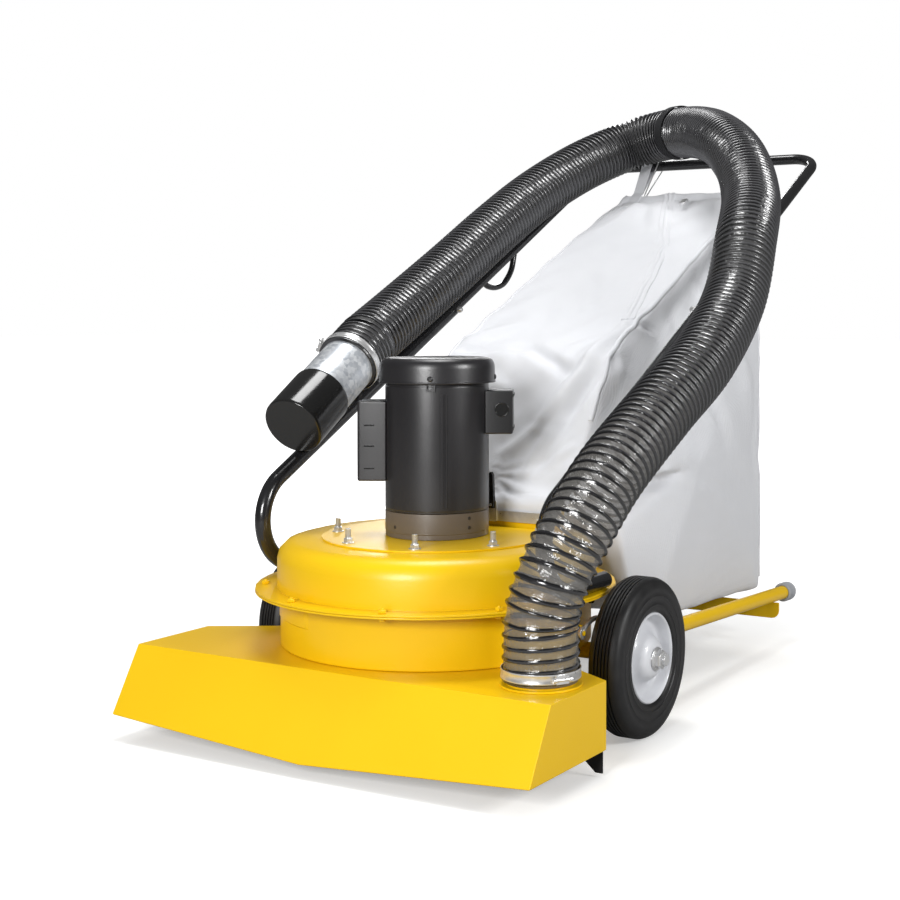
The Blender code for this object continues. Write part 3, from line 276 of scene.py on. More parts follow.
def smooth_route(points, count):
    """Points at equal steps along a smooth curve (Catmull-Rom) through the given points."""
    points = np.array(points, float)
    ends = np.vstack([2 * points[0] - points[1], points, 2 * points[-1] - points[-2]])
    t = np.linspace(0, 1, 24, endpoint=False)[None, :, None]
    a, b, c, d = (ends[k:len(ends) - 3 + k, None, :] for k in range(4))
    curve = 0.5 * (2 * b + (c - a) * t + (2 * a - 5 * b + 4 * c - d) * t ** 2
                   + (3 * b - a - 3 * c + d) * t ** 3)
    curve = np.vstack([curve.reshape(-1, 3), points[-1:]])
    run = np.concatenate([[0], np.cumsum(np.linalg.norm(np.diff(curve, axis=0), axis=1))])
    marks = np.linspace(0, run[-1], count)
    return np.stack([np.interp(marks, run, curve[:, k]) for k in range(3)], axis=1)


def carried_frames(path):
    """Two unit vectors across each point of a path, turned as little as possible along it."""
    forward = np.gradient(path, axis=0)
    forward /= np.linalg.norm(forward, axis=1)[:, None]
    first = np.cross(forward[0], [0.3, 0.5, 0.8])
    across = np.empty_like(path)
    side = first / np.linalg.norm(first)
    for k, ahead in enumerate(forward):
        side = side - ahead * (side @ ahead)
        side /= np.linalg.norm(side)
        across[k] = side
    return across, np.cross(forward, across)


hose_radius = 0.057
collar_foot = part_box("hose_collar")[0]
wand_tip, wand_top = at(-0.255, -0.063, 0.482), at(-0.276, 0.163, 0.616)
wand_axis = (wand_top - wand_tip) / np.linalg.norm(wand_top - wand_tip)
cuff_long = 0.070
collar_centre = at(0.3155, -0.193, 0)
hose_foot = collar_centre + [0, 0, collar_foot[2] + 0.006]
hose_points = [
    (0.3190, -0.193, 0.250), (0.3330, -0.184, 0.300), (0.3480, -0.140, 0.365), (0.3580, -0.060, 0.436),
    (0.3700, 0.085, 0.523), (0.3780, 0.230, 0.600), (0.3680, 0.375, 0.697), (0.3500, 0.470, 0.806),
    (0.3050, 0.600, 0.890), (0.2450, 0.700, 0.965), (0.1650, 0.790, 1.025), (0.0600, 0.900, 1.062),
    (-0.0500, 0.975, 1.072), (-0.1500, 0.965, 1.050), (-0.2150, 0.870, 1.000), (-0.2550, 0.740, 0.930),
    (-0.2700, 0.600, 0.852), (-0.2780, 0.440, 0.760), (-0.2800, 0.280, 0.675),
]
hose_route = [hose_foot, collar_centre + [0, 0, 0.18], collar_centre + [0, 0, 0.2136],
              collar_centre + [0, 0, 0.2276]]
hose_route += [at(*point) for point in hose_points]
hose_route += [wand_top + wand_axis * 0.014, wand_top, wand_top - wand_axis * (cuff_long - 0.002)]
hose_line = smooth_route(hose_route, 900)
hose_run = np.concatenate([[0], np.cumsum(np.linalg.norm(np.diff(hose_line, axis=0), axis=1))])

hose_finish = Finish("hose_vinyl", (0.012, 0.012, 0.013), 0.2, specular_ior_level=1.0)
film = hose_finish.attribute("film")
thin = hose_finish.attribute("stretch")
crinkle = hose_finish.noise(190.0, 3.0)
see = (film * 2.6 - 1.3).clamp()
# Painted highlight: the tops of the black wires are lightened to grey, most where the turns are packed close.
ridge = (1.0 - film * 5.0).clamp() * (1.0 - thin * 0.8)
wire_with_painted_crest_highlight = hose_finish.mix(ridge, (0.003, 0.003, 0.0035), (0.075, 0.075, 0.080))
# Between the wires the stretched film is mid grey: partly the film's own smoky tint, partly painted reflection
# of the glints on it.
hose_finish.put("Base Color", hose_finish.mix(see * (0.02 + thin * 0.98), wire_with_painted_crest_highlight, (0.190, 0.183, 0.172)))
hose_finish.put("Roughness", 0.10 + crinkle * 0.10 + (1.0 - thin) * 0.10 + see * (1.0 - thin) * 0.42)
hose_finish.put("Alpha", 1.0 - see * (0.03 + thin * 0.40))
hose_finish.bump((crinkle + hose_finish.noise(80.0, 2.0) * 2.5) * film, 0.0014, 0.8)


def make_hose():
    """Ribbed tube: the radius follows a helix of wire, and the film between the turns hangs inward.

    The turn number at a run s is the sum of 1 / pitch; each ring of points sits an eighth of a
    turn on, and a point's place between two wires is the turn number less its own angle.
    """
    pitch_at = ([0.0, 0.06, 0.10, 0.26, 0.40, 0.60, 1.00, 4.00],
                [0.0150, 0.0165, 0.0185, 0.0170, 0.0145, 0.0122, 0.0112, 0.0112])
    pitch = np.interp(hose_run, *pitch_at)
    turns = np.concatenate([[0], np.cumsum(np.diff(hose_run) / pitch[1:])])
    steps = np.arange(0, turns[-1], 0.1)
    run = np.interp(steps, turns, hose_run)
    line = np.stack([np.interp(run, hose_run, hose_line[:, k]) for k in range(3)], axis=1)
    sides, ups = carried_frames(line)
    around = 34
    angle = np.linspace(0, 2 * np.pi, around, endpoint=False)[None, :]
    between = (steps[:, None] - angle / (2 * np.pi)) % 1.0
    local = np.interp(run, *pitch_at)[:, None]
    off_wire = np.minimum(between, 1 - between) * local
    crest = np.sqrt(np.clip(1 - (off_wire / 0.0031) ** 2, 0, 1))
    sag = np.sin(np.pi * between) ** 0.7
    ends = np.clip(np.minimum(run - 0.066, run[-1] - 0.070 - run) / 0.02, 0, 1)[:, None]
    close = np.clip((0.0172 - local) / 0.0060, 0, 1)
    radius = hose_radius - 0.0031 + 0.0031 * crest - (0.0030 + 0.0016 * close) * sag * ends
    points = (line[:, None, :] + radius[..., None] * (np.cos(angle)[..., None] * sides[:, None, :]
                                                      + np.sin(angle)[..., None] * ups[:, None, :]))
    rows = len(line)
    points = np.vstack([points.reshape(-1, 3), line[:1], line[-1:]])
    faces = grid_faces(rows, around, False, True).tolist()
    base = (rows - 1) * around
    faces += [[rows * around, (k + 1) % around, k] for k in range(around)]
    faces += [[rows * around + 1, base + k, base + (k + 1) % around] for k in range(around)]
    made = mesh_piece("hose_tube", points, faces, hose_finish, "chassis", 180.0, False)
    shape = bmesh.new()
    shape.from_mesh(made.data)
    if shape.calc_volume(signed=True) < 0:
        bmesh.ops.reverse_faces(shape, faces=shape.faces)
    shape.to_mesh(made.data)
    shape.free()
    stretch = np.clip((local - 0.0110) / 0.0062, 0, 1) * np.ones_like(crest)
    for name, values in (("film", 1 - crest), ("stretch", stretch)):
        layer = made.data.attributes.new(name, "FLOAT", "POINT")
        layer.data.foreach_set("value", np.concatenate([values.reshape(-1), [0, 0]]).astype(np.float32))
    return made


hose = make_hose()
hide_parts("hose", "hose_cuff_lower", "hose_cuff_upper")

# ---------------------------------------------------------------- hose ends
# Each end of the hose is pushed over a 4 in pipe and drawn tight with a worm-drive band clamp.
# The lower pipe is the nozzle's yellow collar, the upper one a plain galvanised wand.


def soft_corners(outline, steps=4):
    """A closed outline of (across, along, softness), each corner swapped for a curve tangent to its sides."""
    points = []
    for k, corner in enumerate(outline):
        here = np.array(corner[:2], float)
        soft = corner[2] if len(corner) > 2 else 0.0
        if soft <= 0:
            points.append(here)
            continue
        before = np.array(outline[k - 1][:2], float) - here
        after = np.array(outline[(k + 1) % len(outline)][:2], float) - here
        one, two = np.linalg.norm(before), np.linalg.norm(after)
        start = here + before / one * min(soft, 0.49 * one)
        end = here + after / two * min(soft, 0.49 * two)
        t = np.linspace(0, 1, steps + 1)[:, None]
        points += list((1 - t) ** 2 * start + 2 * t * (1 - t) * here + t ** 2 * end)
    return np.array(points)


def turned_points(outline, foot, axis, sides, offset=0.0, steps=4):
    """Points and faces of an outline spun about an axis: radius and height against the angle."""
    section = soft_corners(outline, steps)
    angle = (np.arange(sides) + offset) * 2 * np.pi / sides
    flat = np.stack([section[:, :1] * np.cos(angle), section[:, :1] * np.sin(angle),
                     np.broadcast_to(section[:, 1:], (len(section), sides))], axis=-1)
    turn = np.array(Vector((0, 0, 1)).rotation_difference(Vector(axis)).to_matrix())
    points = flat.reshape(-1, 3) @ turn.T + np.asarray(foot, float)
    solid = section[0, 0] < 1e-7 and section[-1, 0] < 1e-7
    return points, grid_faces(len(section), sides, not solid, True)


def turned(name, outline, finish, body="chassis", foot=(0, 0, 0), axis=(0, 0, 1), sides=96, smooth=40.0):
    """A round piece: its outline spun about its axis."""
    points, faces = turned_points(outline, foot, axis, sides)
    return mesh_piece(name, points, faces, finish, body, smooth)


def joined(name, parts, finish, body="chassis", smooth=40.0):
    """One piece made of several separate closed shapes, each given as points and faces."""
    points = np.vstack([np.asarray(p, float).reshape(-1, 3) for p, _ in parts])
    faces, start = [], 0
    for p, quads in parts:
        faces += [[int(i) + start for i in quad] for quad in quads]
        start += len(np.asarray(p).reshape(-1, 3))
    return mesh_piece(name, points, faces, finish, body, smooth)


def box_points(centre, size, turn=None):
    """The eight corners and six faces of a block about a centre."""
    corners = np.array([[x, y, z] for x in (-0.5, 0.5) for y in (-0.5, 0.5) for z in (-0.5, 0.5)]) * size
    if turn is not None:
        corners = corners @ np.array(turn).T
    faces = [(0, 1, 3, 2), (4, 6, 7, 5), (0, 4, 5, 1), (2, 3, 7, 6), (0, 2, 6, 4), (1, 5, 7, 3)]
    return corners + np.asarray(centre, float), faces


def rounded_edges(piece, width, segments=3):
    """Breaks a piece's sharp edges with a small radius."""
    bevel = piece.modifiers.new("edges", "BEVEL")
    bevel.width = width
    bevel.segments = segments
    bevel.limit_method = "ANGLE"
    bevel.angle_limit = math.radians(32)
    bevel.harden_normals = True
    piece.data.shade_smooth()
    return piece


def refine(node, finish, body="chassis", width=0.0012):
    """The plain solid of a node as one merged surface with its edges broken, shown in its finish."""
    mesh = frame["nodes"][node].data.copy()
    mesh.name = node + "_skin"
    shape = bmesh.new()
    shape.from_mesh(mesh)
    bmesh.ops.remove_doubles(shape, verts=shape.verts, dist=2e-5)
    bmesh.ops.dissolve_limit(shape, angle_limit=math.radians(0.6), verts=shape.verts, edges=shape.edges)
    shape.to_mesh(mesh)
    shape.free()
    for layer in list(mesh.attributes):
        if layer.name == "custom_normal":
            mesh.attributes.remove(layer)
    mesh.materials.clear()
    mesh.materials.append(finish.material)
    made = bpy.data.objects.new(node + "_skin", mesh)
    scene.collection.objects.link(made)
    mesh.shade_smooth()
    if width:
        rounded_edges(made, width)
    else:
        mesh.set_sharp_from_angle(angle=math.radians(35))
    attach(made, body)
    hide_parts(node)
    return made


def zinc_finish():
    """Bright zinc plate with faint wiping marks."""
    made = Finish("zinc_plate", (0.70, 0.70, 0.70), 0.3, 0.75)
    cloud = made.noise(90.0, 4.0)
    made.put("Base Color", made.mix(cloud, (0.62, 0.62, 0.63), (0.82, 0.82, 0.81)))
    made.put("Roughness", 0.20 + cloud * 0.22)
    return made.bump(made.noise(700.0, 2.0), 0.0001, 0.3)


def galvanised_finish():
    """Hot-dipped sheet: zinc crystals a few millimetres across, each with its own grey."""
    made = Finish("galvanised_sheet", (0.76, 0.78, 0.80), 0.3, 0.55)
    crystal = made.node("ShaderNodeTexVoronoi", {}, {"Vector": made.place(), "Scale": 150.0}, "Color")
    tone = made.node("ShaderNodeSeparateColor", {}, [crystal], 0)
    streak = made.noise(30.0, 5.0, made.place((1, 6, 6)))
    made.put("Base Color", made.mix(tone, (0.46, 0.49, 0.53), (0.72, 0.74, 0.76)))
    made.put("Roughness", 0.24 + tone * 0.12 + streak * 0.14)
    return made.bump(streak, 0.0003, 0.25)


def gloss_black_finish():
    """Moulded black plastic, nearly polished."""
    made = Finish("gloss_black_plastic", (0.012, 0.012, 0.012), 0.14, specular_ior_level=0.55)
    made.put("Roughness", 0.08 + made.noise(40.0, 5.0) * 0.14)
    return made.bump(made.noise(60.0), 0.0004, 0.12)


zinc = zinc_finish()
galvanised = galvanised_finish()
gloss_black = gloss_black_finish()


def make_clamp(name, centre, axis, degrees):
    """Band clamp: a thin slotted ring, its free tail lying over it, and the screw housing."""
    inner, tall, thick = 0.0573, 0.014, 0.0012
    parts = []
    ring = [(inner, -tall / 2, 0.0003), (inner + thick, -tall / 2, 0.0003),
            (inner + thick, -tall / 2 + 0.002, 0.0004),
            (inner + thick * 0.7, -tall / 2 + 0.0026), (inner + thick * 0.7, tall / 2 - 0.0026),
            (inner + thick, tall / 2 - 0.002, 0.0004), (inner + thick, tall / 2, 0.0003),
            (inner, tall / 2, 0.0003)]
    points, faces = turned_points(ring, (0, 0, 0), (0, 0, 1), 96)
    parts.append((points, faces))
    turn = np.array(Vector((0, 0, 1)).rotation_difference(Vector(axis)).to_matrix())
    angle = math.radians(degrees)
    out = np.array([math.cos(angle), math.sin(angle), 0])
    side = np.array([-math.sin(angle), math.cos(angle), 0])
    hold = np.stack([out, side, [0, 0, 1]], axis=1)
    spot = out * (inner + thick + 0.0028)
    parts.append(box_points(spot, (0.0050, 0.020, 0.0118), hold))
    screw = [(0, -0.016), (0.0034, -0.016, 0.0004), (0.0034, -0.010, 0.0004), (0.0024, -0.0098),
             (0.0024, 0.0096),
             (0.0042, 0.0098, 0.0005), (0.0042, 0.0152, 0.0008), (0.0010, 0.0155), (0.0010, 0.0145),
             (0, 0.0145)]
    parts.append(turned_points(screw, spot + out * 0.0018, side, 24))
    thread = np.linspace(-0.20, 0.62, 44)
    notch = []
    for turn_by in thread:
        around = angle + turn_by + 0.25
        away = np.array([math.cos(around), math.sin(around), 0])
        beside = np.array([-math.sin(around), math.cos(around), 0])
        notch.append(box_points(away * (inner + thick * 0.72), (0.0012, 0.00055, 0.0080),
                                np.stack([away, beside, [0, 0, 1]], 1)))
    parts += notch
    parts = [(np.asarray(p) @ turn.T + np.asarray(centre), f) for p, f in parts]
    made = joined(name, parts, zinc)
    return made


lower_clamp = make_clamp("hose_clamp_lower_band", collar_centre + [0, 0, collar_foot[2] + 0.019], (0, 0, 1),
                         -30)
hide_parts("hose_clamp_lower")
upper_clamp = make_clamp("hose_clamp_upper_band", wand_top - wand_axis * (cuff_long - 0.013), wand_axis, -140)
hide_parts("hose_clamp_upper")

pipe = 0.0508
wand_long = float(np.linalg.norm(wand_top - wand_tip))
wand = turned("wand_tube", [(pipe, 0.006, 0.0006), (pipe, wand_long, 0.0006),
                            (pipe - 0.0016, wand_long, 0.0006),
                            (pipe - 0.0016, 0.006, 0.0006)], galvanised, foot=wand_tip, axis=wand_axis,
              sides=128)
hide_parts("wand")
cap_end = pipe + 0.003
wand_cap = turned("wand_end_cap", [(0, 0.0008), (0.020, 0.0005, 0.004), (0.046, 0, 0.004),
                                   (cap_end, 0, 0.006),
                                   (cap_end + 0.0002, 0.096, 0.0006), (cap_end - 0.0004, 0.100, 0.0008),
                                   (pipe + 0.0005, 0.100, 0.0004), (pipe + 0.0005, 0.003), (0, 0.003)],
                  gloss_black, "end_cap", wand_tip, wand_axis, 128)
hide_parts("wand_cap")


def webbing_finish():
    """Black polyester webbing: ribs across the band, a few millimetres of weave."""
    made = Finish("black_webbing", (0.009, 0.009, 0.010), 0.85, specular_ior_level=0.2)
    rib = made.node("ShaderNodeTexWave", {"bands_direction": "DIAGONAL"},
                    {"Vector": made.place(), "Scale": 260.0}, "Fac")
    made.put("Base Color", made.mix(rib, (0.010, 0.010, 0.011), (0.034, 0.034, 0.036)))
    return made.bump(rib, 0.0004, 0.6)


webbing = webbing_finish()
strap_low, strap_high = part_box("hose_strap")
strap_centre = (np.array(strap_low) + np.array(strap_high)) / 2
nearest = int(np.argmin(np.linalg.norm(hose_line - strap_centre, axis=1)))
strap_centre = hose_line[nearest]
strap_axis = hose_line[nearest + 6] - hose_line[nearest - 6]
strap_axis = strap_axis / np.linalg.norm(strap_axis)
loop = hose_radius + 0.0004
strap = turned("hose_strap_band", [(loop, -0.0125, 0.0006), (loop + 0.0018, -0.0125, 0.0008),
                                   (loop + 0.0018, 0.0125, 0.0008), (loop, 0.0125, 0.0006)],
               webbing, foot=strap_centre, axis=strap_axis, sides=96)
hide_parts("hose_strap")

# ---------------------------------------------------------------- floor nozzle
# A wide open-bottomed hood folded from 3 mm sheet steel and welded at its ends, powder coated
# yellow. A rubber flap closes its rear edge, and a rubber swivel wheel under it carries the front.


def powder_coat_finish():
    """Glossy yellow powder coat: orange peel about 3 mm across, faintly uneven in tone."""
    made = Finish("yellow_powder_coat", (0.86, 0.53, 0.004), 0.3, specular_ior_level=0.4)
    cloud = made.noise(5.0, 3.0)
    peel = made.noise(330.0, 2.0)
    made.put("Base Color", made.mix(cloud, (0.76, 0.465, 0.003), (0.82, 0.515, 0.004)))
    made.put("Roughness", 0.24 + peel * 0.10 + cloud * 0.05)
    return made.bump(peel + made.noise(60.0, 2.0) * 0.8, 0.00035, 0.35)


def rubber_finish(name, dark, light, grain):
    """Cured rubber: matt, slightly dusty in the hollows, fine grain."""
    made = Finish(name, dark, 0.7, specular_ior_level=0.25)
    dust = made.noise(28.0, 5.0)
    made.put("Base Color", made.mix((dust * 1.6 - 0.35).clamp(), dark, light))
    made.put("Roughness", 0.56 + dust * 0.26)
    return made.bump(made.noise(grain, 3.0), 0.0004, 0.45)


yellow = powder_coat_finish()
black_rubber = rubber_finish("black_rubber", (0.011, 0.011, 0.012), (0.030, 0.029, 0.028), 520.0)
refine("nozzle_shell", yellow, width=0.0022)
refine("duct_floor", yellow, width=0.0008)
refine("rear_flap", black_rubber, width=0.0006)
refine("caster_plate", zinc, width=0.0006)
refine("caster_fork", zinc, "caster_swivel", 0.0008)
caster_low, caster_high = (np.array(corner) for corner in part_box("caster_wheel"))
caster_middle = (caster_low + caster_high) / 2
caster_half = (caster_high[0] - caster_low[0]) / 2
caster_wheel = turned("caster_roller_tyre",
                      [(0.0062, -caster_half, 0.0006), (0.013, -caster_half, 0.001),
                       (0.015, -caster_half + 0.003, 0.001),
                       (0.031, -caster_half + 0.003, 0.001), (0.0335, -caster_half + 0.001, 0.002),
                       (0.0445, -caster_half + 0.004, 0.006),
                       (0.0450, 0, 0.012), (0.0445, caster_half - 0.004, 0.006),
                       (0.0335, caster_half - 0.001, 0.002),
                       (0.031, caster_half - 0.003, 0.001), (0.015, caster_half - 0.003, 0.001),
                       (0.013, caster_half, 0.001),
                       (0.0062, caster_half, 0.0006)], black_rubber, "caster_roller", caster_middle,
                      (1, 0, 0), 72)
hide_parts("caster_wheel")

# ---------------------------------------------------------------- blower housing
# Two spun steel drums bolted flange to flange, with the round motor plate held on top by six
# studs with zinc nuts. A rolled seam shows on the lower drum, and yellow bolts ring the flange.

seam = 0.2300
nozzle_top = 0.1413
shaft_foot = at(0, 0, 0)
lower_drum = turned("housing_lower_drum",
                    [(0.060, nozzle_top, 0.0008), (0.2545, nozzle_top, 0.003),
                     (0.2545, seam - 0.0032, 0.0035),
                     (0.295, seam - 0.0032, 0.0013), (0.295, seam - 0.0002, 0.0010),
                     (0.2515, seam - 0.0002, 0.003),
                     (0.2515, nozzle_top + 0.003, 0.002), (0.063, nozzle_top + 0.003, 0.001),
                     (0.063, nozzle_top + 0.020, 0.0008), (0.060, nozzle_top + 0.020, 0.0008)],
                    yellow, foot=shaft_foot, sides=192)
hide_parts("housing_lower")
refine("housing_upper", yellow, width=0.0008)
refine("mounting_plate", yellow, width=0.0009)


def hexagon_points(foot, axis, across_flats, tall, bore=0.0, soft=0.0006):
    """A nut: a six-sided block with its top corners turned off, about an axis."""
    far = across_flats / 2 / math.cos(math.pi / 6)
    outline = [(bore, 0), (far * 0.97, 0, soft), (far, soft, soft), (far, tall - soft * 1.2, soft),
               (far * 0.90, tall, soft), (bore, tall)]
    return turned_points(outline, foot, axis, 6, 0.0, 2)


def stud_points(foot, axis, bolt, long, thread=0.0012):
    """A threaded end: its radius rises and falls once each pitch, with a chamfered tip."""
    outline = [(0, 0), (bolt, 0)]
    count = int(long / thread) - 1
    for k in range(count):
        outline += [(bolt, (k + 0.5) * thread), (bolt * 0.92, (k + 1) * thread)]
    outline += [(bolt, long - 0.0007), (bolt * 0.75, long), (0, long)]
    return turned_points(outline, foot, axis, 14)


plate_top = float(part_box("mounting_plate")[1][2]) - 0.022
fixings = []
for degrees in (-112, -67, -24, 30, 150, -157):
    spot = shaft_foot + [0.168 * math.cos(math.radians(degrees)), 0.168 * math.sin(math.radians(degrees)),
                         plate_top]
    fixings.append(turned_points([(0.0041, 0, 0.0003), (0.0098, 0, 0.0004), (0.0098, 0.0016, 0.0004),
                                  (0.0041, 0.0016, 0.0003)],
                                 spot, (0, 0, 1), 32))
    fixings.append(hexagon_points(spot + [0, 0, 0.0017], (0, 0, 1), 0.0128, 0.0066, 0.0041))
    fixings.append(stud_points(spot + [0, 0, 0.0083], (0, 0, 1), 0.0047, 0.0148))
studs = joined("plate_fixings", fixings, zinc)

flange_bolts = []
for k in range(10):
    turn_by = math.radians(-90 + 18 + 36 * k)
    spot = shaft_foot + [0.2790 * math.cos(turn_by), 0.2790 * math.sin(turn_by), 0]
    if abs(abs(spot[0]) - 0.2745) < 0.03 and abs(spot[1] - shaft_foot[1]) < 0.10:
        continue
    under = spot + [0, 0, seam - 0.0034]
    flange_bolts.append(hexagon_points(under, (0, 0, -1), 0.0110, 0.0052))
    over = spot + [0, 0, seam + 0.0034]
    flange_bolts.append(hexagon_points(over, (0, 0, 1), 0.0110, 0.0050, 0.0031))
    flange_bolts.append(turned_points([(0, 0), (0.0030, 0), (0.0030, 0.0070, 0.0008), (0, 0.0070)], over,
                                      (0, 0, 1), 16))
bolts = joined("flange_bolts", flange_bolts, yellow)


def lap_points(radius, low, high, start, stop, thick):
    """A curved patch: a strip of a cylinder between two angles, lifted off it by its thickness."""
    angle = np.radians(np.linspace(start, stop, 25))[None, :]
    ease = np.array([0.0, 1.0, 1.0, 0.0])[:, None]
    height = np.array([low, low + thick, high - thick, high])[:, None]
    radii = radius + thick * ease * np.clip(np.minimum(angle - angle[0, 0], angle[0, -1] - angle) / 0.008, 0,
                                            1)
    points = np.stack([radii * np.cos(angle), radii * np.sin(angle), height * np.ones_like(angle)], -1)
    back = np.stack([(radius - 0.0012) * np.cos(angle[0]), (radius - 0.0012) * np.sin(angle[0])], -1)
    inner = np.stack([np.column_stack([back, np.full(25, z)]) for z in (high, low)])
    points = np.concatenate([points, inner]).reshape(-1, 3) + shaft_foot
    faces = grid_faces(6, 25, True, False).tolist()
    faces += [[r * 25 + c for r in range(6)] for c in (0, 24)]
    return points, faces


lap = joined("drum_lap_seam", [lap_points(0.2545, 0.188, seam - 0.0036, -136.0, -106.0, 0.0022)], yellow)

# ---------------------------------------------------------------- impeller and motor inside
# The welded steel impeller, the shaft with the rotor, the copper windings, two ball bearings
# and the plastic cooling fan. All of them sit inside the housing and the motor.


def winding_finish():
    """Varnished copper wire, wound round the stack."""
    made = Finish("varnished_copper", (0.42, 0.19, 0.08), 0.35, 1.0)
    wire = made.node("ShaderNodeTexWave", {"bands_direction": "Z"},
                     {"Vector": made.place(), "Scale": 180.0, "Distortion": 1.5}, "Fac")
    made.put("Base Color", made.mix(wire, (0.26, 0.10, 0.04), (0.55, 0.27, 0.12)))
    return made.bump(wire, 0.0008, 0.6)


copper = winding_finish()
for inner, slot, body, finish in (("impeller", "steel", "rotor", galvanised),
                                  ("motor_shaft", "steel", "rotor", zinc),
                                  ("rotor_core", "steel", "rotor", galvanised),
                                  ("cooling_fan", "black_plastic", "rotor", gloss_black),
                                  ("bearing_lower", "steel", "chassis", zinc),
                                  ("bearing_upper", "steel", "chassis", zinc),
                                  ("stator", "copper", "chassis", copper)):
    refine(inner, finish, body, 0.0004)

# ---------------------------------------------------------------- motor
# An upright enclosed motor in grey enamel: a rolled sheet shell with a seam, a pressed top cap
# over the cooling fan, a taupe cast end bell, and sheet boxes for capacitor and terminals.


def enamel_finish(name, dark, light, rough):
    """Air-dried enamel on rolled steel: low sheen, fine texture, faint handling marks."""
    made = Finish(name, dark, rough, 0.0, specular_ior_level=0.75)
    cloud = made.noise(9.0, 5.0)
    made.put("Base Color", made.mix(cloud, dark, light))
    made.put("Roughness", rough - 0.06 + cloud * 0.12)
    return made.bump(made.noise(420.0, 3.0), 0.0003, 0.35)


motor_grey = enamel_finish("motor_grey_enamel", (0.010, 0.0095, 0.011), (0.018, 0.017, 0.019), 0.33)
bell_taupe = enamel_finish("end_bell_taupe_enamel", (0.105, 0.083, 0.062), (0.135, 0.108, 0.082), 0.40)
motor_foot = 0.3111
shell_low, shell_top = motor_foot + 0.0423, motor_foot + 0.2543
motor_r = 0.0853
bell = turned("motor_end_bell_casting",
              [(0.0115, motor_foot, 0.0005), (motor_r - 0.0005, motor_foot, 0.0012),
               (motor_r - 0.0008, motor_foot + 0.008, 0.001),
               (motor_r, motor_foot + 0.009, 0.0008), (motor_r, motor_foot + 0.0415, 0.0010),
               (motor_r - 0.004, motor_foot + 0.0418, 0.0008),
               (motor_r - 0.004, motor_foot + 0.006, 0.002), (0.0260, motor_foot + 0.006, 0.0006),
               (0.0260, motor_foot + 0.0178, 0.0006),
               (0.0200, motor_foot + 0.0178, 0.0006), (0.0200, motor_foot + 0.004, 0.0004),
               (0.0115, motor_foot + 0.004, 0.0004)],
              bell_taupe, foot=shaft_foot, sides=144)
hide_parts("motor_end_bell")
shell = turned("motor_shell_rolled",
               [(motor_r - 0.003, shell_low, 0.0006), (motor_r - 0.0004, shell_low, 0.0008),
                (motor_r - 0.0004, shell_low + 0.003, 0.0006),
                (motor_r, shell_low + 0.004, 0.0006), (motor_r, shell_top - 0.010, 0.0008),
                (motor_r - 0.0006, shell_top - 0.009, 0.0008),
                (motor_r - 0.0006, shell_top, 0.0010), (0.0115, shell_top, 0.0004),
                (0.0115, shell_top - 0.004, 0.0004),
                (0.0200, shell_top - 0.004, 0.0004), (0.0200, shell_top - 0.018, 0.0004),
                (0.0260, shell_top - 0.018, 0.0004),
                (0.0260, shell_top - 0.006, 0.0010), (motor_r - 0.003, shell_top - 0.006, 0.0010)],
               motor_grey, foot=shaft_foot, sides=144)
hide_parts("motor_shell")
cap_low, cap_top, cap_r = shell_top - 0.004, shell_top + 0.037, 0.0966
cap = turned("motor_top_cap",
             [(0, cap_top - 0.003), (cap_r - 0.0042, cap_top - 0.003, 0.0150),
              (cap_r - 0.0042, cap_low + 0.006, 0.001),
              (motor_r + 0.0003, cap_low + 0.006, 0.0004), (motor_r + 0.0003, cap_low, 0.0004),
              (cap_r - 0.0004, cap_low, 0.0006),
              (cap_r, cap_low + 0.0008, 0.0006), (cap_r, cap_low + 0.0020, 0.0006),
              (cap_r - 0.0012, cap_low + 0.0030, 0.0008),
              (cap_r - 0.0012, cap_top, 0.0170), (0, cap_top)], motor_grey, foot=shaft_foot, sides=144)
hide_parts("motor_fan_cap")


def round_spot(degrees, radius, height):
    """A point on the motor at an angle, and the directions outwards and sideways there."""
    angle = math.radians(degrees)
    out = np.array([math.cos(angle), math.sin(angle), 0.0])
    return shaft_foot + out * radius + [0, 0, height], out, np.array([-out[1], out[0], 0.0])


def motor_trim():
    """Rolled seam, cap screws, the latch under the cap's rim and the drain plugs of the end bell."""
    parts = []
    middle = (shell_low + shell_top) / 2 - 0.006
    for shift, wide in ((0.0, 0.0036), (0.0070, 0.0016)):
        spot, out, side = round_spot(-50, motor_r + 0.0004, middle)
        parts.append(box_points(spot + side * shift, (0.0036, wide, shell_top - shell_low - 0.030),
                                np.stack([out, side, [0, 0, 1]], 1)))
    spot, out, side = round_spot(-62, motor_r + 0.0012, shell_top - 0.0145)
    hold = np.stack([out, side, [0, 0, 1]], 1)
    parts.append(box_points(spot, (0.0036, 0.0150, 0.0030), hold))
    for shift in (-0.0062, 0.0062):
        parts.append(box_points(spot + side * shift + [0, 0, 0.0055], (0.0036, 0.0026, 0.0100), hold))
    for degrees in (-62, 28, 118, 208):
        spot, out, side = round_spot(degrees, cap_r - 0.0016, cap_low + 0.0085)
        parts.append(turned_points([(0, 0), (0.0046, 0, 0.0006), (0.0046, 0.0014, 0.0010),
                                    (0.0018, 0.0030, 0.0008), (0.0015, 0.0016), (0, 0.0016)],
                                   spot, out, 20))
    for degrees, height in ((-18, 0.0330), (-18, 0.0180), (72, 0.0330), (162, 0.0330), (252, 0.0180)):
        spot, out, side = round_spot(degrees, motor_r - 0.0006, motor_foot + height)
        parts.append(turned_points([(0, 0), (0.0030, 0, 0.0005), (0.0030, 0.0012, 0.0006), (0, 0.0012)],
                                   spot, out, 14))
    return parts


trim = joined("motor_trim", motor_trim(), motor_grey)
rounded_edges(trim, 0.0005, 2)
refine("capacitor_box", motor_grey, width=0.0030)
terminal_finish = enamel_finish("terminal_box_enamel", (0.008, 0.008, 0.009), (0.014, 0.014, 0.015), 0.33)
refine("terminal_box", terminal_finish, width=0.0030)


capacitor_bearing = 208
terminal_bearing = 30


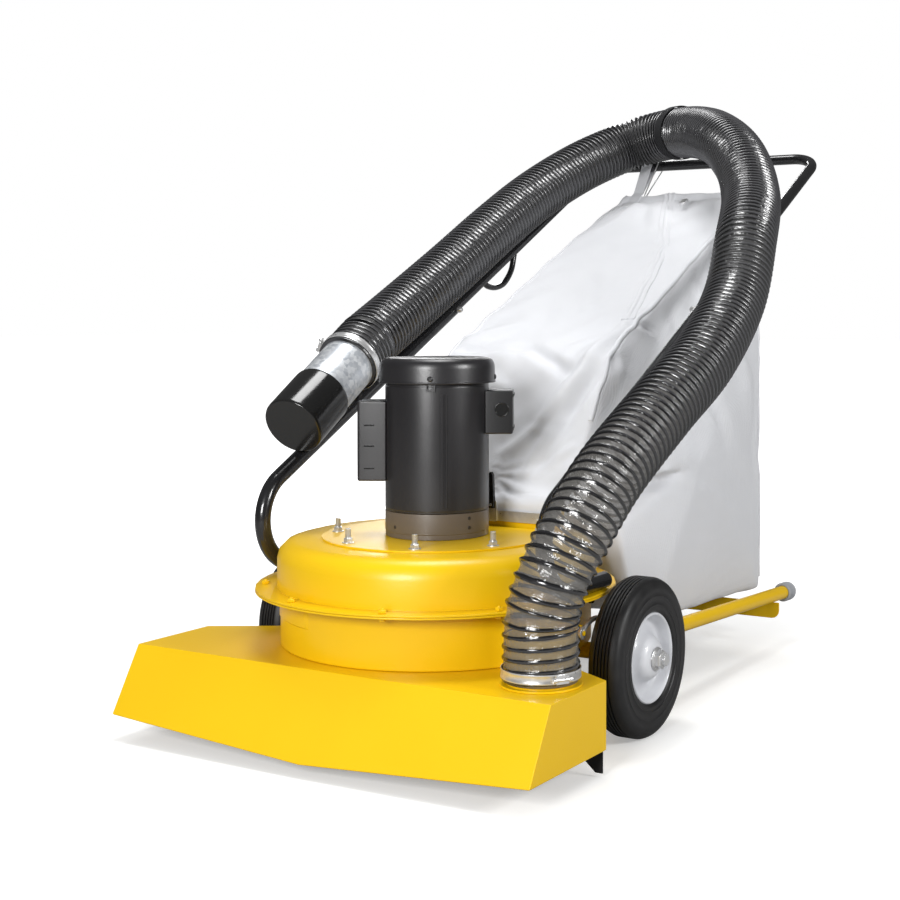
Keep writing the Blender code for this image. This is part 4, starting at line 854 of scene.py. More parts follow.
def box_ways(bearing):
    """The way out from the shaft at a bearing in degrees, and the way to its side."""
    angle = math.radians(bearing)
    return np.array([math.cos(angle), math.sin(angle), 0.0]), np.array([-math.sin(angle), math.cos(angle), 0.0])


def box_trim():
    """Pressed louvres of the capacitor box, and the knockouts and lid screws of the terminal box."""
    parts = []
    low, high = (np.array(corner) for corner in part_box("capacitor_box"))
    box_height = high[2] - low[2]
    out, side = box_ways(capacitor_bearing)
    for level in (0.16, 0.44, 0.70):
        for face in (-1, 1):
            spot = shaft_foot + out * 0.1080 + side * 0.0321 * face + [0, 0, low[2] + box_height * level]
            parts.append(box_points(spot, (0.0170, 0.0016, 0.0022), np.stack([out, side, [0, 0, 1]], 1)))
    low, high = (np.array(corner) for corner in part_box("terminal_box"))
    out, side = box_ways(terminal_bearing)
    ring = [(0, 0), (0.0118, 0), (0.0118, 0.0014, 0.0008), (0.0100, 0.0014, 0.0006), (0.0096, 0.0005),
            (0, 0.0005)]
    height = (low[2] + high[2]) / 2 + 0.004
    for face in (-1, 1):
        spot = shaft_foot + out * 0.1080 + side * 0.0300 * face + [0, 0, height]
        parts.append(turned_points(ring, spot, side * face, 40))
    for reach, lift in ((-0.022, 0.027), (0.022, 0.027), (-0.022, -0.027), (0.022, -0.027)):
        spot = shaft_foot + out * 0.1258 + side * reach + [0, 0, height - 0.004 + lift]
        parts.append(turned_points([(0, 0), (0.0034, 0), (0.0034, 0.0010, 0.0008), (0, 0.0018)], spot, out,
                                   16))
    return parts


details = joined("motor_box_trim", box_trim(), gloss_black)

# ---------------------------------------------------------------- wheels
# Ten-inch semi-pneumatic tyres with five tread grooves, on pressed steel rims in white enamel
# that turn on the zinc axle behind flanged lock nuts.


def tyre_finish():
    """Tyre rubber with moulding rings on the sidewall and brown-grey dust in the tread."""
    made = Finish("tyre_rubber", (0.010, 0.010, 0.011), 0.6, specular_ior_level=0.5)
    dust = made.noise(34.0, 5.0)
    made.put("Base Color", made.mix((dust * 1.8 - 0.5).clamp(), (0.0055, 0.0055, 0.0065),
                                    (0.016, 0.0155, 0.015)))
    made.put("Roughness", 0.32 + dust * 0.30)
    return made.bump(made.noise(480.0, 4.0), 0.0004, 0.4)


def white_enamel_finish():
    """White baked enamel on pressed steel."""
    made = Finish("white_wheel_enamel", (0.66, 0.67, 0.70), 0.3, coat_weight=0.4, coat_roughness=0.1)
    cloud = made.noise(24.0, 4.0)
    made.put("Base Color", made.mix(cloud, (0.60, 0.61, 0.64), (0.72, 0.73, 0.76)))
    made.put("Roughness", 0.24 + cloud * 0.16)
    return made.bump(made.noise(150.0, 2.0), 0.0003, 0.3)


tyre_rubber = tyre_finish()
white_enamel = white_enamel_finish()
wheel_r, tyre_half, rim_r = 0.127, 0.029, 0.072


def tread_outline():
    """Half section of the tyre: bead, sidewall with two moulded rings, rounded shoulder and grooves."""
    outline = [(rim_r + 0.0003, -tyre_half + 0.005, 0.001), (rim_r + 0.004, -tyre_half + 0.0018, 0.002),
               (rim_r + 0.010, -tyre_half + 0.0014),
               (rim_r + 0.0112, -tyre_half + 0.0002, 0.0006), (rim_r + 0.0128, -tyre_half + 0.0002, 0.0006),
               (rim_r + 0.014, -tyre_half + 0.0010),
               (rim_r + 0.024, -tyre_half + 0.0006), (rim_r + 0.0252, -tyre_half - 0.0001, 0.0005),
               (rim_r + 0.0264, -tyre_half - 0.0001, 0.0005),
               (rim_r + 0.0276, -tyre_half + 0.0006), (wheel_r - 0.016, -tyre_half, 0.005),
               (wheel_r - 0.0045, -tyre_half + 0.0045, 0.006),
               (wheel_r - 0.0004, -tyre_half + 0.0135, 0.003)]
    for centre in (-0.0116, -0.0058, 0.0, 0.0058, 0.0116):
        outline += [(wheel_r, centre - 0.0014, 0.0004), (wheel_r - 0.0030, centre - 0.0008, 0.0004),
                    (wheel_r - 0.0030, centre + 0.0008, 0.0004), (wheel_r, centre + 0.0014, 0.0004)]
    mirrored = [(p[0], -p[1], *p[2:]) for p in outline[12::-1]]
    return outline + mirrored


def rim_outline():
    """Section of the rim: a rolled flange, a sloping dish, a domed hub and its bore."""
    bore = 0.0099
    return [(bore, -tyre_half + 0.002, 0.0006), (0.021, -tyre_half + 0.002, 0.0015), (0.0225, -0.004, 0.003),
            (0.058, -0.001, 0.006),
            (rim_r - 0.0045, -tyre_half + 0.006, 0.004), (rim_r, -tyre_half + 0.005, 0.001),
            (rim_r, tyre_half - 0.005, 0.0012),
            (rim_r - 0.0026, tyre_half - 0.0028, 0.0014), (rim_r - 0.0052, tyre_half - 0.0058, 0.002),
            (rim_r - 0.0100, 0.006, 0.008),
            (0.052, 0.0055, 0.006), (0.0400, 0.0120, 0.010), (0.0310, 0.0285, 0.012),
            (0.0190, 0.0312, 0.004), (bore, 0.0312, 0.0008)]


def nut_shapes(foot, axis):
    """Flanged lock nut: a round flange and a six-sided nut, with the axle's chamfered end showing in its bore.
    """
    shapes = [turned_points([(0.0098, 0, 0.0003), (0.0187, 0, 0.0006), (0.0187, 0.0016, 0.0012),
                             (0.0140, 0.0040, 0.001), (0.0098, 0.0040)], foot, axis, 64),
              hexagon_points(foot + np.array(axis) * 0.0036, axis, 0.0270, 0.0092, 0.0098, 0.0012)]
    return shapes


axle_height = 0.127
nut_seat = 0.0318       # from the wheel's middle to the nut's foot
for side, hand in ((1, "right"), (-1, "left")):
    hub = at(side * 0.330, 0.086, axle_height)
    outward = (side, 0, 0)
    tyre = turned(f"tyre_{hand}_ribbed", tread_outline(), tyre_rubber, f"wheel_{hand}", hub, outward, 144)
    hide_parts(f"tyre_{hand}")
    rim = turned(f"rim_{hand}_pressed", rim_outline(), white_enamel, f"wheel_{hand}", hub, outward, 128)
    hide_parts(f"rim_{hand}")
    nut = joined(f"axle_nut_{hand}_flanged", nut_shapes(hub + np.array(outward) * nut_seat, outward), zinc,
                 "chassis")
    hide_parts(f"axle_nut_{hand}")
refine("axle", zinc, width=0.0008)
refine("axle_tube", yellow, width=0.0006)

# ---------------------------------------------------------------- rails
# Two steel tubes run back from the axle tube and carry the bag. Ribbed grey rubber caps close
# them, and a folded cross plate joins them behind.


def drawn_tube(name, path, radius, finish, body="chassis", sides=32, wall=0.0018):
    """A tube: a ring of points carried along a path, outside and inside, closed at both ends."""
    path = np.asarray(path, float)
    across, up = carried_frames(path)
    angle = np.linspace(0, 2 * np.pi, sides, endpoint=False)[None, :, None]
    around = np.cos(angle) * across[:, None, :] + np.sin(angle) * up[:, None, :]
    outside = path[:, None, :] + radius * around
    inside = path[::-1, None, :] + (radius - wall) * around[::-1]
    points = np.concatenate([outside, inside])
    return mesh_piece(name, points, grid_faces(len(points), sides, True, True), finish, body, 50.0)


rail_start, rail_end = np.array([0, 0.086, 0.100 + 0.043 * (0.868 - 0.086)]), np.array([0, 0.868, 0.100])
rail_way = (rail_end - rail_start) / np.linalg.norm(rail_end - rail_start)
grey_rubber = rubber_finish("grey_rubber", (0.30, 0.31, 0.33), (0.42, 0.43, 0.45), 380.0)


def rail_cap_outline():
    """Section of a pushed-on cap: a skirt with five ribs and a chamfered closed end."""
    outline = [(0.0138, 0.0, 0.0004), (0.0168, 0.0, 0.0008)]
    for k in range(5):
        z = 0.0022 + k * 0.0054
        outline += [(0.0170, z, 0.0004), (0.0190, z + 0.0008, 0.0006), (0.0190, z + 0.0032, 0.0006),
                    (0.0170, z + 0.0040, 0.0004)]
    return outline + [(0.0184, 0.0295, 0.001), (0.0184, 0.0318, 0.002), (0.0158, 0.0340, 0.002), (0, 0.0340),
                      (0, 0.0285), (0.0138, 0.0285)]


for side, hand in ((1, "right"), (-1, "left")):
    x = side * 0.2725
    refine(f"rail_{hand}", yellow, width=0.0005)
    start = at(x, *(rail_end - rail_way * 0.028)[1:])
    end_cap = turned(f"rail_cap_{hand}_ribbed", rail_cap_outline(), grey_rubber, foot=start, axis=rail_way,
                     sides=64)
    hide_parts(f"rail_cap_{hand}")
refine("cross_plate", yellow, width=0.0010)

# ---------------------------------------------------------------- handle
# Bent steel tube in gloss black: two legs bolted to the flange, and a U-shaped grip that slides
# in them and is held by a through-bolt on each side.


def black_paint_finish():
    """Gloss black enamel on drawn tube, thin enough to show the tube's slight waviness."""
    made = Finish("gloss_black_enamel", (0.011, 0.011, 0.012), 0.2, coat_weight=0.5, coat_roughness=0.06)
    cloud = made.noise(26.0, 4.0)
    made.put("Base Color", made.mix(cloud, (0.008, 0.008, 0.009), (0.016, 0.016, 0.017)))
    made.put("Roughness", 0.15 + cloud * 0.16)
    return made.bump(made.noise(120.0, 2.0), 0.0003, 0.25)


black_enamel = black_paint_finish()
slope_rise, leg_x, leg_r, grip_r = 0.548, 0.2745, 0.0134, 0.0110
bend_r, bend_y = 0.0795, -0.036
stub_z = seam + 0.00015 + 0.003 + 0.0003 + leg_r
bend_end = 90 + math.degrees(math.atan(slope_rise))
leg_foot = (bend_y + bend_r * math.cos(math.radians(bend_end)),
            stub_z + bend_r + bend_r * math.sin(math.radians(bend_end)))


def leg_height(y):
    """Height of the handle's straight run at that distance behind the shaft."""
    return leg_foot[1] + slope_rise * (y - leg_foot[0])


for side, hand in ((1, "right"), (-1, "left")):
    x = side * leg_x
    turn_by = np.radians(np.linspace(270, bend_end, 40))
    curve = np.stack([np.full(40, x), bend_y + bend_r * np.cos(turn_by),
                      stub_z + bend_r + bend_r * np.sin(turn_by)], 1)
    run_y = np.linspace(curve[-1, 1], 0.460, 24)[1:]
    run_up = np.stack([np.full(23, x), run_y, leg_height(run_y)], 1)
    stub = np.stack([np.full(8, x), np.linspace(0.075, curve[0, 1], 9)[:-1], np.full(8, stub_z)], 1)
    leg = drawn_tube(f"handle_leg_{hand}_tube", np.vstack([stub, curve, run_up]) + at(0, 0, 0), leg_r,
                     black_enamel, wall=0.0020)
    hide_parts(f"handle_leg_{hand}")
    refine(f"leg_bolt_{hand}", zinc, width=0.0004)
    refine(f"stub_bolt_{hand}", black_enamel, width=0.0004)


def grip_path():
    """The U of the grip: up one leg, a quarter turn, across the top bar and down the other."""
    ahead = np.array([0, 1, slope_rise]) / math.hypot(1, slope_rise)
    start = np.array([leg_x, 0.340, leg_height(0.340)])
    corner = np.array([leg_x, 1.045, leg_height(1.045)])
    up = np.linspace(start, corner - ahead * 0.0600, 40)
    turn_by = np.radians(np.linspace(0, 90, 20))[1:, None]
    centre = corner - ahead * 0.060 - [0.060, 0, 0]
    bend = centre + 0.060 * (np.cos(turn_by) * [1, 0, 0] + np.sin(turn_by) * ahead)
    half = np.vstack([up, bend])
    other = half[::-1] * [-1, 1, 1]
    middle = np.linspace(half[-1], other[0], 20)[1:-1]
    return np.vstack([half, middle, other]) + at(0, 0, 0)


grip = drawn_tube("handle_grip_tube", grip_path(), grip_r, black_enamel, wall=0.0018)
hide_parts("handle_grip")

# ---------------------------------------------------------------- chute, band and levers
# The yellow discharge chute takes the bag's neck, held by a steel band with a black cam lever.
# A small bright lever stands beside the right wheel on its own bracket.

refine("discharge_chute", yellow, width=0.0010)
refine("neck_band", zinc, width=0.0004)
refine("neck_lever", gloss_black, "band_lever", 0.0012)
refine("hose_collar", yellow, width=0.0008)
refine("lever_bracket", yellow, width=0.0010)


def side_lever_rod():
    """Bent bright rod: a smooth route from its pivot up and over to its drooping end, with a flat eye."""
    foot = at(0.2895, -0.027, 0.181)
    route = np.array([(0, -0.002, 0.000), (0, 0.010, 0.007), (0, 0.030, 0.0145), (0, 0.050, 0.0145),
                      (0, 0.067, 0.006), (0, 0.078, -0.007)])
    return smooth_route(route + foot, 60)


rod = drawn_tube("side_lever_bent_rod", side_lever_rod(), 0.0042, zinc, "flow_lever", 24, 0.0040)
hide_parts("side_lever")
eye = turned("side_lever_eye", [(0.0045, -0.0036, 0.0006), (0.0098, -0.0036, 0.0012),
                                (0.0098, 0.0036, 0.0012), (0.0045, 0.0036, 0.0006)],
             zinc, "flow_lever", at(0.2892, -0.027, 0.181), (1, 0, 0), 40)

cord_hook_route = [(-leg_x, 0.560, leg_height(0.560) - 0.006), (-leg_x, 0.578, leg_height(0.578) - 0.024),
                   (-leg_x, 0.608, leg_height(0.608) - 0.042),
                   (-leg_x, 0.640, leg_height(0.640) - 0.050), (-leg_x, 0.668, leg_height(0.668) - 0.038),
                   (-leg_x, 0.680, leg_height(0.680) - 0.010)]
hook = drawn_tube("cord_hook", smooth_route(np.array(cord_hook_route) + at(0, 0, 0), 60), 0.0060,
                  black_enamel, "chassis", 24, 0.0055)
refine("zip_slider", zinc, "zip_pull", 0.0010)

# ---------------------------------------------------------------- filter bag
# White woven polyester sewn from a top panel, two sides and a back, hung from the handle's bar
# and drawn over the chute at its neck. A zip runs down the middle of the top panel.


def cloth_finish():
    """Tightly woven white filter cloth, threads 0.7 mm apart, softly mottled darker in large random patches."""
    made = Finish("white_filter_cloth", (0.74, 0.75, 0.79), 0.85, sheen_weight=0.15)
    cloud = made.noise(6.0, 4.0)
    fine = made.noise(520.0, 2.0)
    made.put("Base Color", made.mix(cloud, (0.66, 0.67, 0.70), (0.73, 0.74, 0.765)))
    made.put("Roughness", 0.78 + fine * 0.16)
    warp = made.node("ShaderNodeTexWave", {"bands_direction": "X"}, {"Vector": made.place(), "Scale": 240.0},
                     "Fac")
    weft = made.node("ShaderNodeTexWave", {"bands_direction": "Z"}, {"Vector": made.place(), "Scale": 240.0},
                     "Fac")
    return made.bump(warp + weft + fine * 1.5 + made.noise(45.0, 4.0) * 3.0, 0.0006, 0.5)


cloth = cloth_finish()
chute_plan = [(-0.170, 0.125), (0.170, 0.125), (0.140, 0.172), (0.075, 0.208), (-0.075, 0.208),
              (-0.140, 0.172)]
bag_side = [(0.150, 0.390, -0.172, 0.172), (0.296, 0.606, -0.194, 0.165), (0.420, 0.674, -0.190, 0.160),
            (0.930, 0.925, -0.176, 0.158), (0.995, 0.944, -0.168, 0.150), (0.935, 0.800, -0.195, 0.190),
            (0.893, 0.560, -0.215, 0.215), (0.874, 0.102, -0.225, 0.225), (0.370, 0.130, -0.225, 0.225),
            (0.304, 0.200, -0.205, 0.205), (0.304, 0.300, -0.190, 0.190)]
bag_bulge = (0.236, 0.560, 0.400)
neck_low, neck_high = 0.309, 0.352


def bag_panels():
    """The bag as flat panels: the neck's six-sided plan, the outline's panels and two fanned sides."""
    middle = np.mean(chute_plan, axis=0)
    grown = [tuple(np.array(p) + (np.array(p) - middle) / np.linalg.norm(np.array(p) - middle) * 0.0066)
             for p in chute_plan]
    points = [(x, y, neck_low) for x, y in grown] + [(x, y, neck_high) for x, y in grown]
    faces = [[k, (k + 1) % 6, 6 + (k + 1) % 6, 6 + k] for k in range(6)] + [[0, 1, 2, 3, 4, 5]]
    first = len(points)
    for y, z, left, right in bag_side:
        points += [(left + 0.002, y, z), (right - 0.002, y, z)]
    last = first + 2 * (len(bag_side) - 1)
    faces += [[a, a + 1, a + 3, a + 2] for a in range(first, last, 2)]
    faces += [[6, 7, first + 1, first], [9, 10, last, last + 1]]
    for right, chain in ((1, [7, 8, 9]), (0, [6, 11, 10])):
        apex = len(points)
        points.append((bag_bulge[0] * (1 if right else -1), bag_bulge[1], bag_bulge[2]))
        ring = chain + [k + right for k in range(last, first - 1, -2)]
        faces += [[a, b, apex] for a, b in zip(ring, ring[1:] + ring[:1])]
    return np.array(points) + at(0, 0, 0), faces


def ridge(points, start, end, width, height):
    """Height of a fold at each point: a bell across the line from start to end, fading at both ends."""
    start, end = at(*start), at(*end)
    way = end - start
    long = np.linalg.norm(way)
    along = (points - start) @ way / long ** 2
    off = points - (start + np.clip(along, 0, 1)[:, None] * way)
    gap = np.linalg.norm(off, axis=1)
    fade = np.clip(along * 5 + 0.35, 0, 1) * np.clip((1 - along) * 4 + 0.30, 0, 1)
    bell = np.exp(-(gap / width) ** 2) - 0.42 * np.exp(-(gap / (width * 2.1)) ** 2)
    return height * bell * fade


bag_folds = [
    # start, end, width and height; a hollow has a negative height
    ((0.138, 0.405, 0.666), (0.114, 0.278, 0.579), 0.015, 0.018),
    ((0.118, 0.285, 0.585), (0.053, 0.207, 0.475), 0.017, 0.022),
    ((0.060, 0.212, 0.485), (0.005, 0.178, 0.430), 0.015, 0.016),
    ((0.160, 0.330, 0.600), (0.110, 0.230, 0.500), 0.014, -0.016),
    ((0.105, 0.247, 0.534), (0.062, 0.160, 0.404), 0.012, 0.015),
    ((0.120, 0.230, 0.500), (0.090, 0.165, 0.412), 0.010, -0.012),
    ((0.110, 0.172, 0.423), (0.040, 0.151, 0.392), 0.008, 0.010),
    ((0.150, 0.200, 0.450), (0.080, 0.152, 0.395), 0.009, 0.010),
    ((0.160, 0.410, 0.660), (0.152, 0.733, 0.828), 0.007, -0.009),
    ((0.150, 0.410, 0.668), (0.128, 0.560, 0.742), 0.009, 0.010),
    ((0.125, 0.400, 0.664), (0.060, 0.330, 0.620), 0.010, 0.009),
    ((0.145, 0.395, 0.660), (0.165, 0.470, 0.640), 0.008, -0.009),
    ((-0.176, 0.311, 0.612), (-0.016, 0.321, 0.619), 0.014, -0.016),
    ((-0.020, 0.322, 0.619), (0.095, 0.272, 0.570), 0.014, -0.015),
    ((-0.185, 0.340, 0.630), (-0.080, 0.395, 0.660), 0.022, 0.012),
    ((-0.150, 0.280, 0.585), (-0.020, 0.250, 0.540), 0.016, 0.012),
    ((-0.180, 0.250, 0.540), (-0.050, 0.205, 0.475), 0.014, -0.010),
    ((-0.175, 0.200, 0.470), (-0.040, 0.170, 0.410), 0.011, 0.010),
    ((-0.040, 0.600, 0.765), (0.040, 0.440, 0.684), 0.020, 0.008),
    ((0.000, 0.820, 0.872), (0.120, 0.600, 0.764), 0.014, -0.007),
    ((-0.100, 0.960, 0.940), (-0.020, 0.780, 0.852), 0.016, -0.009),
    ((-0.130, 0.970, 0.940), (-0.160, 0.720, 0.825), 0.012, -0.009),
    ((0.080, 0.950, 0.934), (0.140, 0.760, 0.842), 0.014, 0.009),
    ((0.030, 0.960, 0.938), (0.100, 0.880, 0.901), 0.010, -0.008),
    ((0.192, 0.304, 0.240), (0.215, 0.420, 0.330), 0.014, 0.015),
    ((0.192, 0.306, 0.225), (0.222, 0.440, 0.240), 0.013, -0.013),
    ((0.195, 0.310, 0.210), (0.225, 0.450, 0.170), 0.014, 0.011),
    ((0.190, 0.300, 0.300), (0.222, 0.430, 0.470), 0.020, 0.013),
    ((0.185, 0.300, 0.420), (0.215, 0.480, 0.560), 0.018, -0.011),
    ((0.180, 0.520, 0.680), (0.215, 0.690, 0.420), 0.022, -0.010),
    ((0.175, 0.640, 0.720), (0.205, 0.830, 0.540), 0.022, 0.012),
    ((0.222, 0.880, 0.360), (0.226, 0.845, 0.125), 0.018, 0.012),
    ((0.215, 0.885, 0.560), (0.222, 0.860, 0.340), 0.016, 0.009),
    ((0.230, 0.700, 0.160), (0.232, 0.560, 0.340), 0.026, 0.009),
    ((-0.192, 0.304, 0.240), (-0.220, 0.430, 0.330), 0.016, 0.014),
    ((-0.190, 0.290, 0.330), (-0.205, 0.500, 0.550), 0.018, 0.012),
    ((-0.200, 0.640, 0.700), (-0.215, 0.830, 0.540), 0.022, 0.012),
    ((-0.222, 0.870, 0.350), (-0.226, 0.845, 0.125), 0.020, 0.011),
    ((-0.228, 0.420, 0.160), (-0.234, 0.560, 0.360), 0.024, 0.011),
    ((-0.180, 0.540, 0.690), (-0.225, 0.640, 0.440), 0.020, -0.010),
    ((0.100, 0.905, 0.600), (0.130, 0.878, 0.180), 0.026, 0.010),
    ((-0.080, 0.925, 0.750), (-0.120, 0.882, 0.280), 0.028, 0.011),
    ((0.010, 0.930, 0.780), (0.020, 0.890, 0.420), 0.022, -0.008),
]


def soften(shape, rounds, factor=0.5):
    """Smooths all of a shape's points a number of times."""
    for _ in range(rounds):
        bmesh.ops.smooth_vert(shape, verts=shape.verts, factor=factor, use_axis_x=True, use_axis_y=True,
                              use_axis_z=True)


def make_bag():
    """The panels remeshed, then filled by a short cloth simulation that moves each point at most 12 mm."""
    points, faces = bag_panels()
    made = mesh_piece("filter_bag", points, faces, cloth, "chassis", 180.0)
    remesh = made.modifiers.new("weave", "REMESH")
    remesh.mode = "VOXEL"
    remesh.voxel_size = 0.0075
    bpy.context.view_layer.update()
    plain = bpy.data.meshes.new_from_object(made.evaluated_get(bpy.context.evaluated_depsgraph_get()))
    made.modifiers.clear()
    made.data = plain
    shape = bmesh.new()
    shape.from_mesh(plain)
    soften(shape, 3)
    shape.to_mesh(plain)
    shape.free()
    count = len(plain.vertices)
    start = np.empty(count * 3)
    plain.vertices.foreach_get("co", start)
    start = start.reshape(-1, 3)
    pins = made.vertex_groups.new(name="held")
    local = start - at(0, 0, 0)
    held = np.clip(1 - (local[:, 2] - neck_high) / 0.03, 0,
                   1) * (local[:, 1] < 0.24) * (local[:, 2] < 0.40)
    held = np.maximum(held, (local[:, 1] > 0.97) * (local[:, 2] > 0.92))
    held = np.round(held, 1)
    for level in np.unique(held[held > 0]):
        pins.add(np.nonzero(held == level)[0].tolist(), float(level), "REPLACE")
    cloth_sim = made.modifiers.new("fill", "CLOTH")
    cloth_sim.settings.quality = 5
    cloth_sim.settings.mass = 0.25
    cloth_sim.settings.tension_stiffness = 25
    cloth_sim.settings.compression_stiffness = 25
    cloth_sim.settings.bending_stiffness = 0.6
    cloth_sim.settings.use_pressure = True
    cloth_sim.settings.uniform_pressure_force = 1.6
    cloth_sim.settings.vertex_group_mass = "held"
    cloth_sim.settings.effector_weights.gravity = 0.35
    cloth_sim.collision_settings.use_collision = False
    cloth_sim.point_cache.frame_start = 1
    cloth_sim.point_cache.frame_end = 18
    for step in range(1, 19):
        scene.frame_set(step)
    moved = bpy.data.meshes.new_from_object(made.evaluated_get(bpy.context.evaluated_depsgraph_get()))
    made.modifiers.clear()
    end = np.empty(count * 3)
    moved.vertices.foreach_get("co", end)
    end = end.reshape(-1, 3)
    scene.frame_set(1)
    move = end - start
    far = np.linalg.norm(move, axis=1)
    start = start + move * np.minimum(1, 0.012 / np.maximum(far, 1e-9))[:, None]
    return made, start


bag, bag_points = make_bag()


def fold_bag(made, points):
    """Adds the folds along the surface's own normals, gathers round the neck and fine creases."""
    mesh = made.data
    mesh.vertices.foreach_set("co", points.reshape(-1))
    mesh.update()
    normals = np.empty(len(points) * 3)
    mesh.vertices.foreach_get("normal", normals)
    normals = normals.reshape(-1, 3)
    push = np.zeros(len(points))
    for start, end, width, height in bag_folds:
        push += ridge(points, start, end, width, height)
    local = points - at(0, 0, 0)
    around = np.arctan2(local[:, 1] - 0.165, local[:, 0])
    gather = np.clip((local[:, 2] - neck_high + 0.004) / 0.02, 0,
                     1) * np.clip(1 - (local[:, 2] - neck_high) / 0.075, 0, 1)
    near = (local[:, 1] < 0.30)
    push += 0.0042 * np.sin(around * 17 + 1.4 * np.sin(around * 3)) * gather * near
    bent = np.sin(local @ [31.0, 7.0, -12.0])
    wide = np.sin(local @ [9.0, 23.0, 31.0] + 2.2 * bent) * np.sin(local @ [-17.0, 12.0, 21.0])
    push += 0.0022 * wide * np.clip((local[:, 2] - neck_high) / 0.05 + (local[:, 1] > 0.26), 0, 1)
    band = np.clip(1 - np.abs(local[:, 2] - 0.329) / 0.013, 0, 1) * (local[:, 1] < 0.24)
    past_neck = np.clip((local[:, 2] - neck_high + 0.006) / 0.02 + (local[:, 1] > 0.26), 0, 1)
    push = np.clip(push * 1.35, -0.024, 0.020) * past_neck - 0.0016 * band
    points = points + normals * push[:, None]
    points[:, 2] = np.maximum(points[:, 2], 0.095)
    mesh.vertices.foreach_set("co", points.reshape(-1))
    mesh.update()
    finer = made.modifiers.new("finer", "SUBSURF")
    finer.levels = 1
    finer.render_levels = 1
    mesh.shade_smooth()
    mesh.materials.clear()
    mesh.materials.append(cloth.material)
    return points


bag_points = fold_bag(bag, bag_points)
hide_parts("bag")
refine("bag_strap", cloth, width=0.0007)


def on_bag(points, lift=0.0):
    """Each point moved to the nearest place on the finished bag, and lifted off it a little."""
    tree = BVHTree.FromObject(bag, bpy.context.evaluated_depsgraph_get())
    found = [tree.find_nearest(Vector(p)) for p in np.asarray(points)]
    return np.array([f[0] + f[1] * lift for f in found]), np.array([f[1] for f in found])


def sewn_strip(name, route, wide, finish, section):
    """A strip laid along the bag: across it the height follows the section, along it the cloth's surface."""
    line, up = on_bag(smooth_route(np.array(route) + at(0, 0, 0), 220))
    for _ in range(6):
        line[1:-1] = (line[:-2] + line[1:-1] * 2 + line[2:]) / 4
        up[1:-1] = up[:-2] + up[1:-1] * 2 + up[2:]
        up /= np.linalg.norm(up, axis=1)[:, None]
    ahead = np.gradient(line, axis=0)
    side = np.cross(up, ahead)
    side /= np.linalg.norm(side, axis=1)[:, None]
    across = np.linspace(-0.5, 0.5, len(section))[None, :, None] * wide
    height = np.array(section)[None, :, None]
    stitch = 0.0003 * np.sin(np.arange(220) * 2.1)[:, None, None] * (np.abs(across) > wide * 0.3)
    top = line[:, None, :] + across * side[:, None, :] + (height + stitch) * up[:, None, :]
    base = line[:, None, :] + across * side[:, None, :] - 0.0030 * up[:, None, :]
    points = np.concatenate([top, base[:, ::-1]], axis=1)
    count = points.shape[1]
    faces = grid_faces(220, count, False, True).tolist()
    faces += [list(range(count)), [219 * count + k for k in range(count)][::-1]]
    made = mesh_piece(name, points, faces, finish, "chassis", 60.0)
    return made


zip_section = (0.0004, 0.0016, 0.0010, 0.0016, 0.0014, 0.0008, 0.0012, 0.0024, 0.0028, 0.0024, 0.0012,
               0.0008, 0.0014, 0.0016, 0.0010, 0.0016, 0.0004)
seam_section = (0.0003, 0.0016, 0.0026, 0.0030, 0.0026, 0.0016, 0.0003)
sewn_strip("zip_placket", [(-0.050, 0.975, 0.938), (0.020, 0.800, 0.861), (0.066, 0.694, 0.809),
                           (0.110, 0.520, 0.724), (0.136, 0.415, 0.671)], 0.026, cloth, zip_section)
sewn_strip("seam_top_left", [(-0.169, 0.985, 0.940), (-0.180, 0.800, 0.862), (-0.187, 0.560, 0.743),
                             (-0.192, 0.400, 0.664), (-0.194, 0.300, 0.609), (-0.184, 0.220, 0.494)], 0.009,
           cloth, seam_section)
sewn_strip("seam_top_right", [(0.151, 0.985, 0.940), (0.158, 0.800, 0.862), (0.160, 0.560, 0.743),
                              (0.162, 0.400, 0.664), (0.166, 0.300, 0.609), (0.170, 0.220, 0.494)], 0.009,
           cloth, seam_section)
sewn_strip("seam_back_right", [(0.152, 0.985, 0.930), (0.190, 0.935, 0.800), (0.215, 0.893, 0.560),
                               (0.222, 0.880, 0.300), (0.225, 0.874, 0.125)], 0.009, cloth, seam_section)
sewn_strip("seam_back_left", [(-0.170, 0.985, 0.930), (-0.195, 0.935, 0.800), (-0.215, 0.893, 0.560),
                              (-0.222, 0.880, 0.300), (-0.225, 0.874, 0.125)], 0.009, cloth, seam_section)


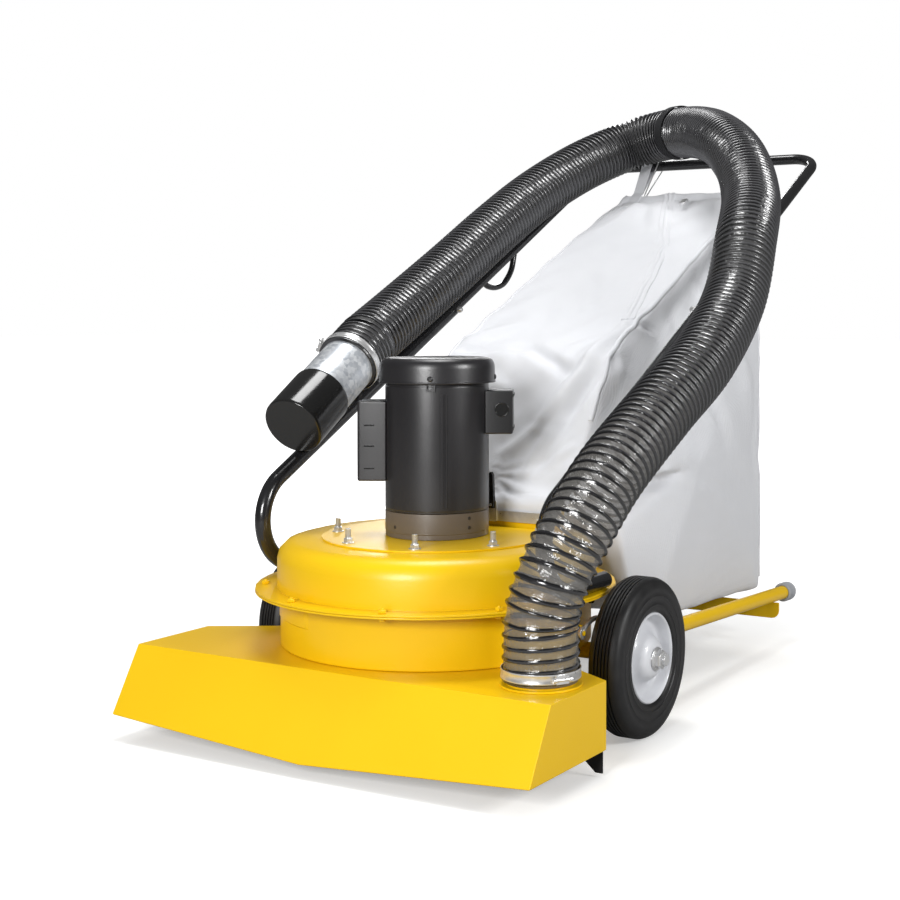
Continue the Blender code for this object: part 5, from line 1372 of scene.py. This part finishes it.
def strap_tab():
    """The strap's sewn end: a ribbon from the strap's foot down onto the bag and on along its cloth."""
    x = -0.135
    lying, _ = on_bag([at(x, 0.976, 0.937), at(x, 0.958, 0.930), at(x, 0.938, 0.920), at(x, 0.918, 0.911)],
                      0.0008)
    line = smooth_route(np.vstack([at(x, 0.9935, 0.9495), at(x, 0.9885, 0.9440), lying]), 48)
    ahead = np.gradient(line, axis=0)
    up = np.cross([1.0, 0.0, 0.0], ahead)
    up /= np.linalg.norm(up, axis=1)[:, None]
    corners = [(-0.0122, -0.0010), (0.0122, -0.0010), (0.0122, 0.0009), (-0.0122, 0.0009)]
    points = np.stack([line + [across, 0, 0] + up * lift for across, lift in corners], axis=1)
    faces = grid_faces(48, 4, False, True).tolist() + [[0, 1, 2, 3], [191, 190, 189, 188]]
    return mesh_piece("bag_strap_tab", points, faces, cloth, "chassis", 40.0)


strap_tab()


def snap_hook_path():
    """A closed wire: round the grip bar, straight down on both sides and through the bag's hem."""
    bar = np.array([1.045, leg_height(1.045)])
    hem = on_bag([at(-0.117, 0.984, 0.940)], -0.0020)[0][0] - at(0, 0, 0)
    reach = bar - hem[1:]
    length = np.linalg.norm(reach)
    along = reach / length
    over = np.array([-along[1], along[0]])
    wide, narrow = grip_r + 0.0019, 0.0030
    lean = math.pi / 2 + math.asin((wide - narrow) / length)
    top, foot = np.linspace(-lean, lean, 40)[:, None], np.linspace(lean, 2 * math.pi - lean, 16)[:, None]
    flat = np.vstack([bar + wide * (np.cos(top) * along + np.sin(top) * over),
                      hem[1:] + narrow * (np.cos(foot) * along + np.sin(foot) * over)])
    flat = np.vstack([flat, flat[:1]])
    run = np.concatenate([[0], np.cumsum(np.linalg.norm(np.diff(flat, axis=0), axis=1))])
    even = np.linspace(0, run[-1], 97)[:-1]
    flat = np.stack([np.interp(even, run, flat[:, k]) for k in range(2)], 1)
    x = hem[0] + 0.010 * ((flat - hem[1:]) @ along) / length
    return np.column_stack([x, flat]) + at(0, 0, 0)


hook_path = snap_hook_path()
ring_side, ring_up = carried_frames(np.vstack([hook_path, hook_path[:1]]))
turn_by = np.linspace(0, 2 * np.pi, 12, endpoint=False)[None, :, None]
hook_rings = hook_path[:, None, :] + 0.0015 * (np.cos(turn_by) * ring_side[:96, None, :]
                                                + np.sin(turn_by) * ring_up[:96, None, :])
snap = mesh_piece("snap_hook", hook_rings, grid_faces(96, 12, True, True), zinc, "chassis", 60.0)
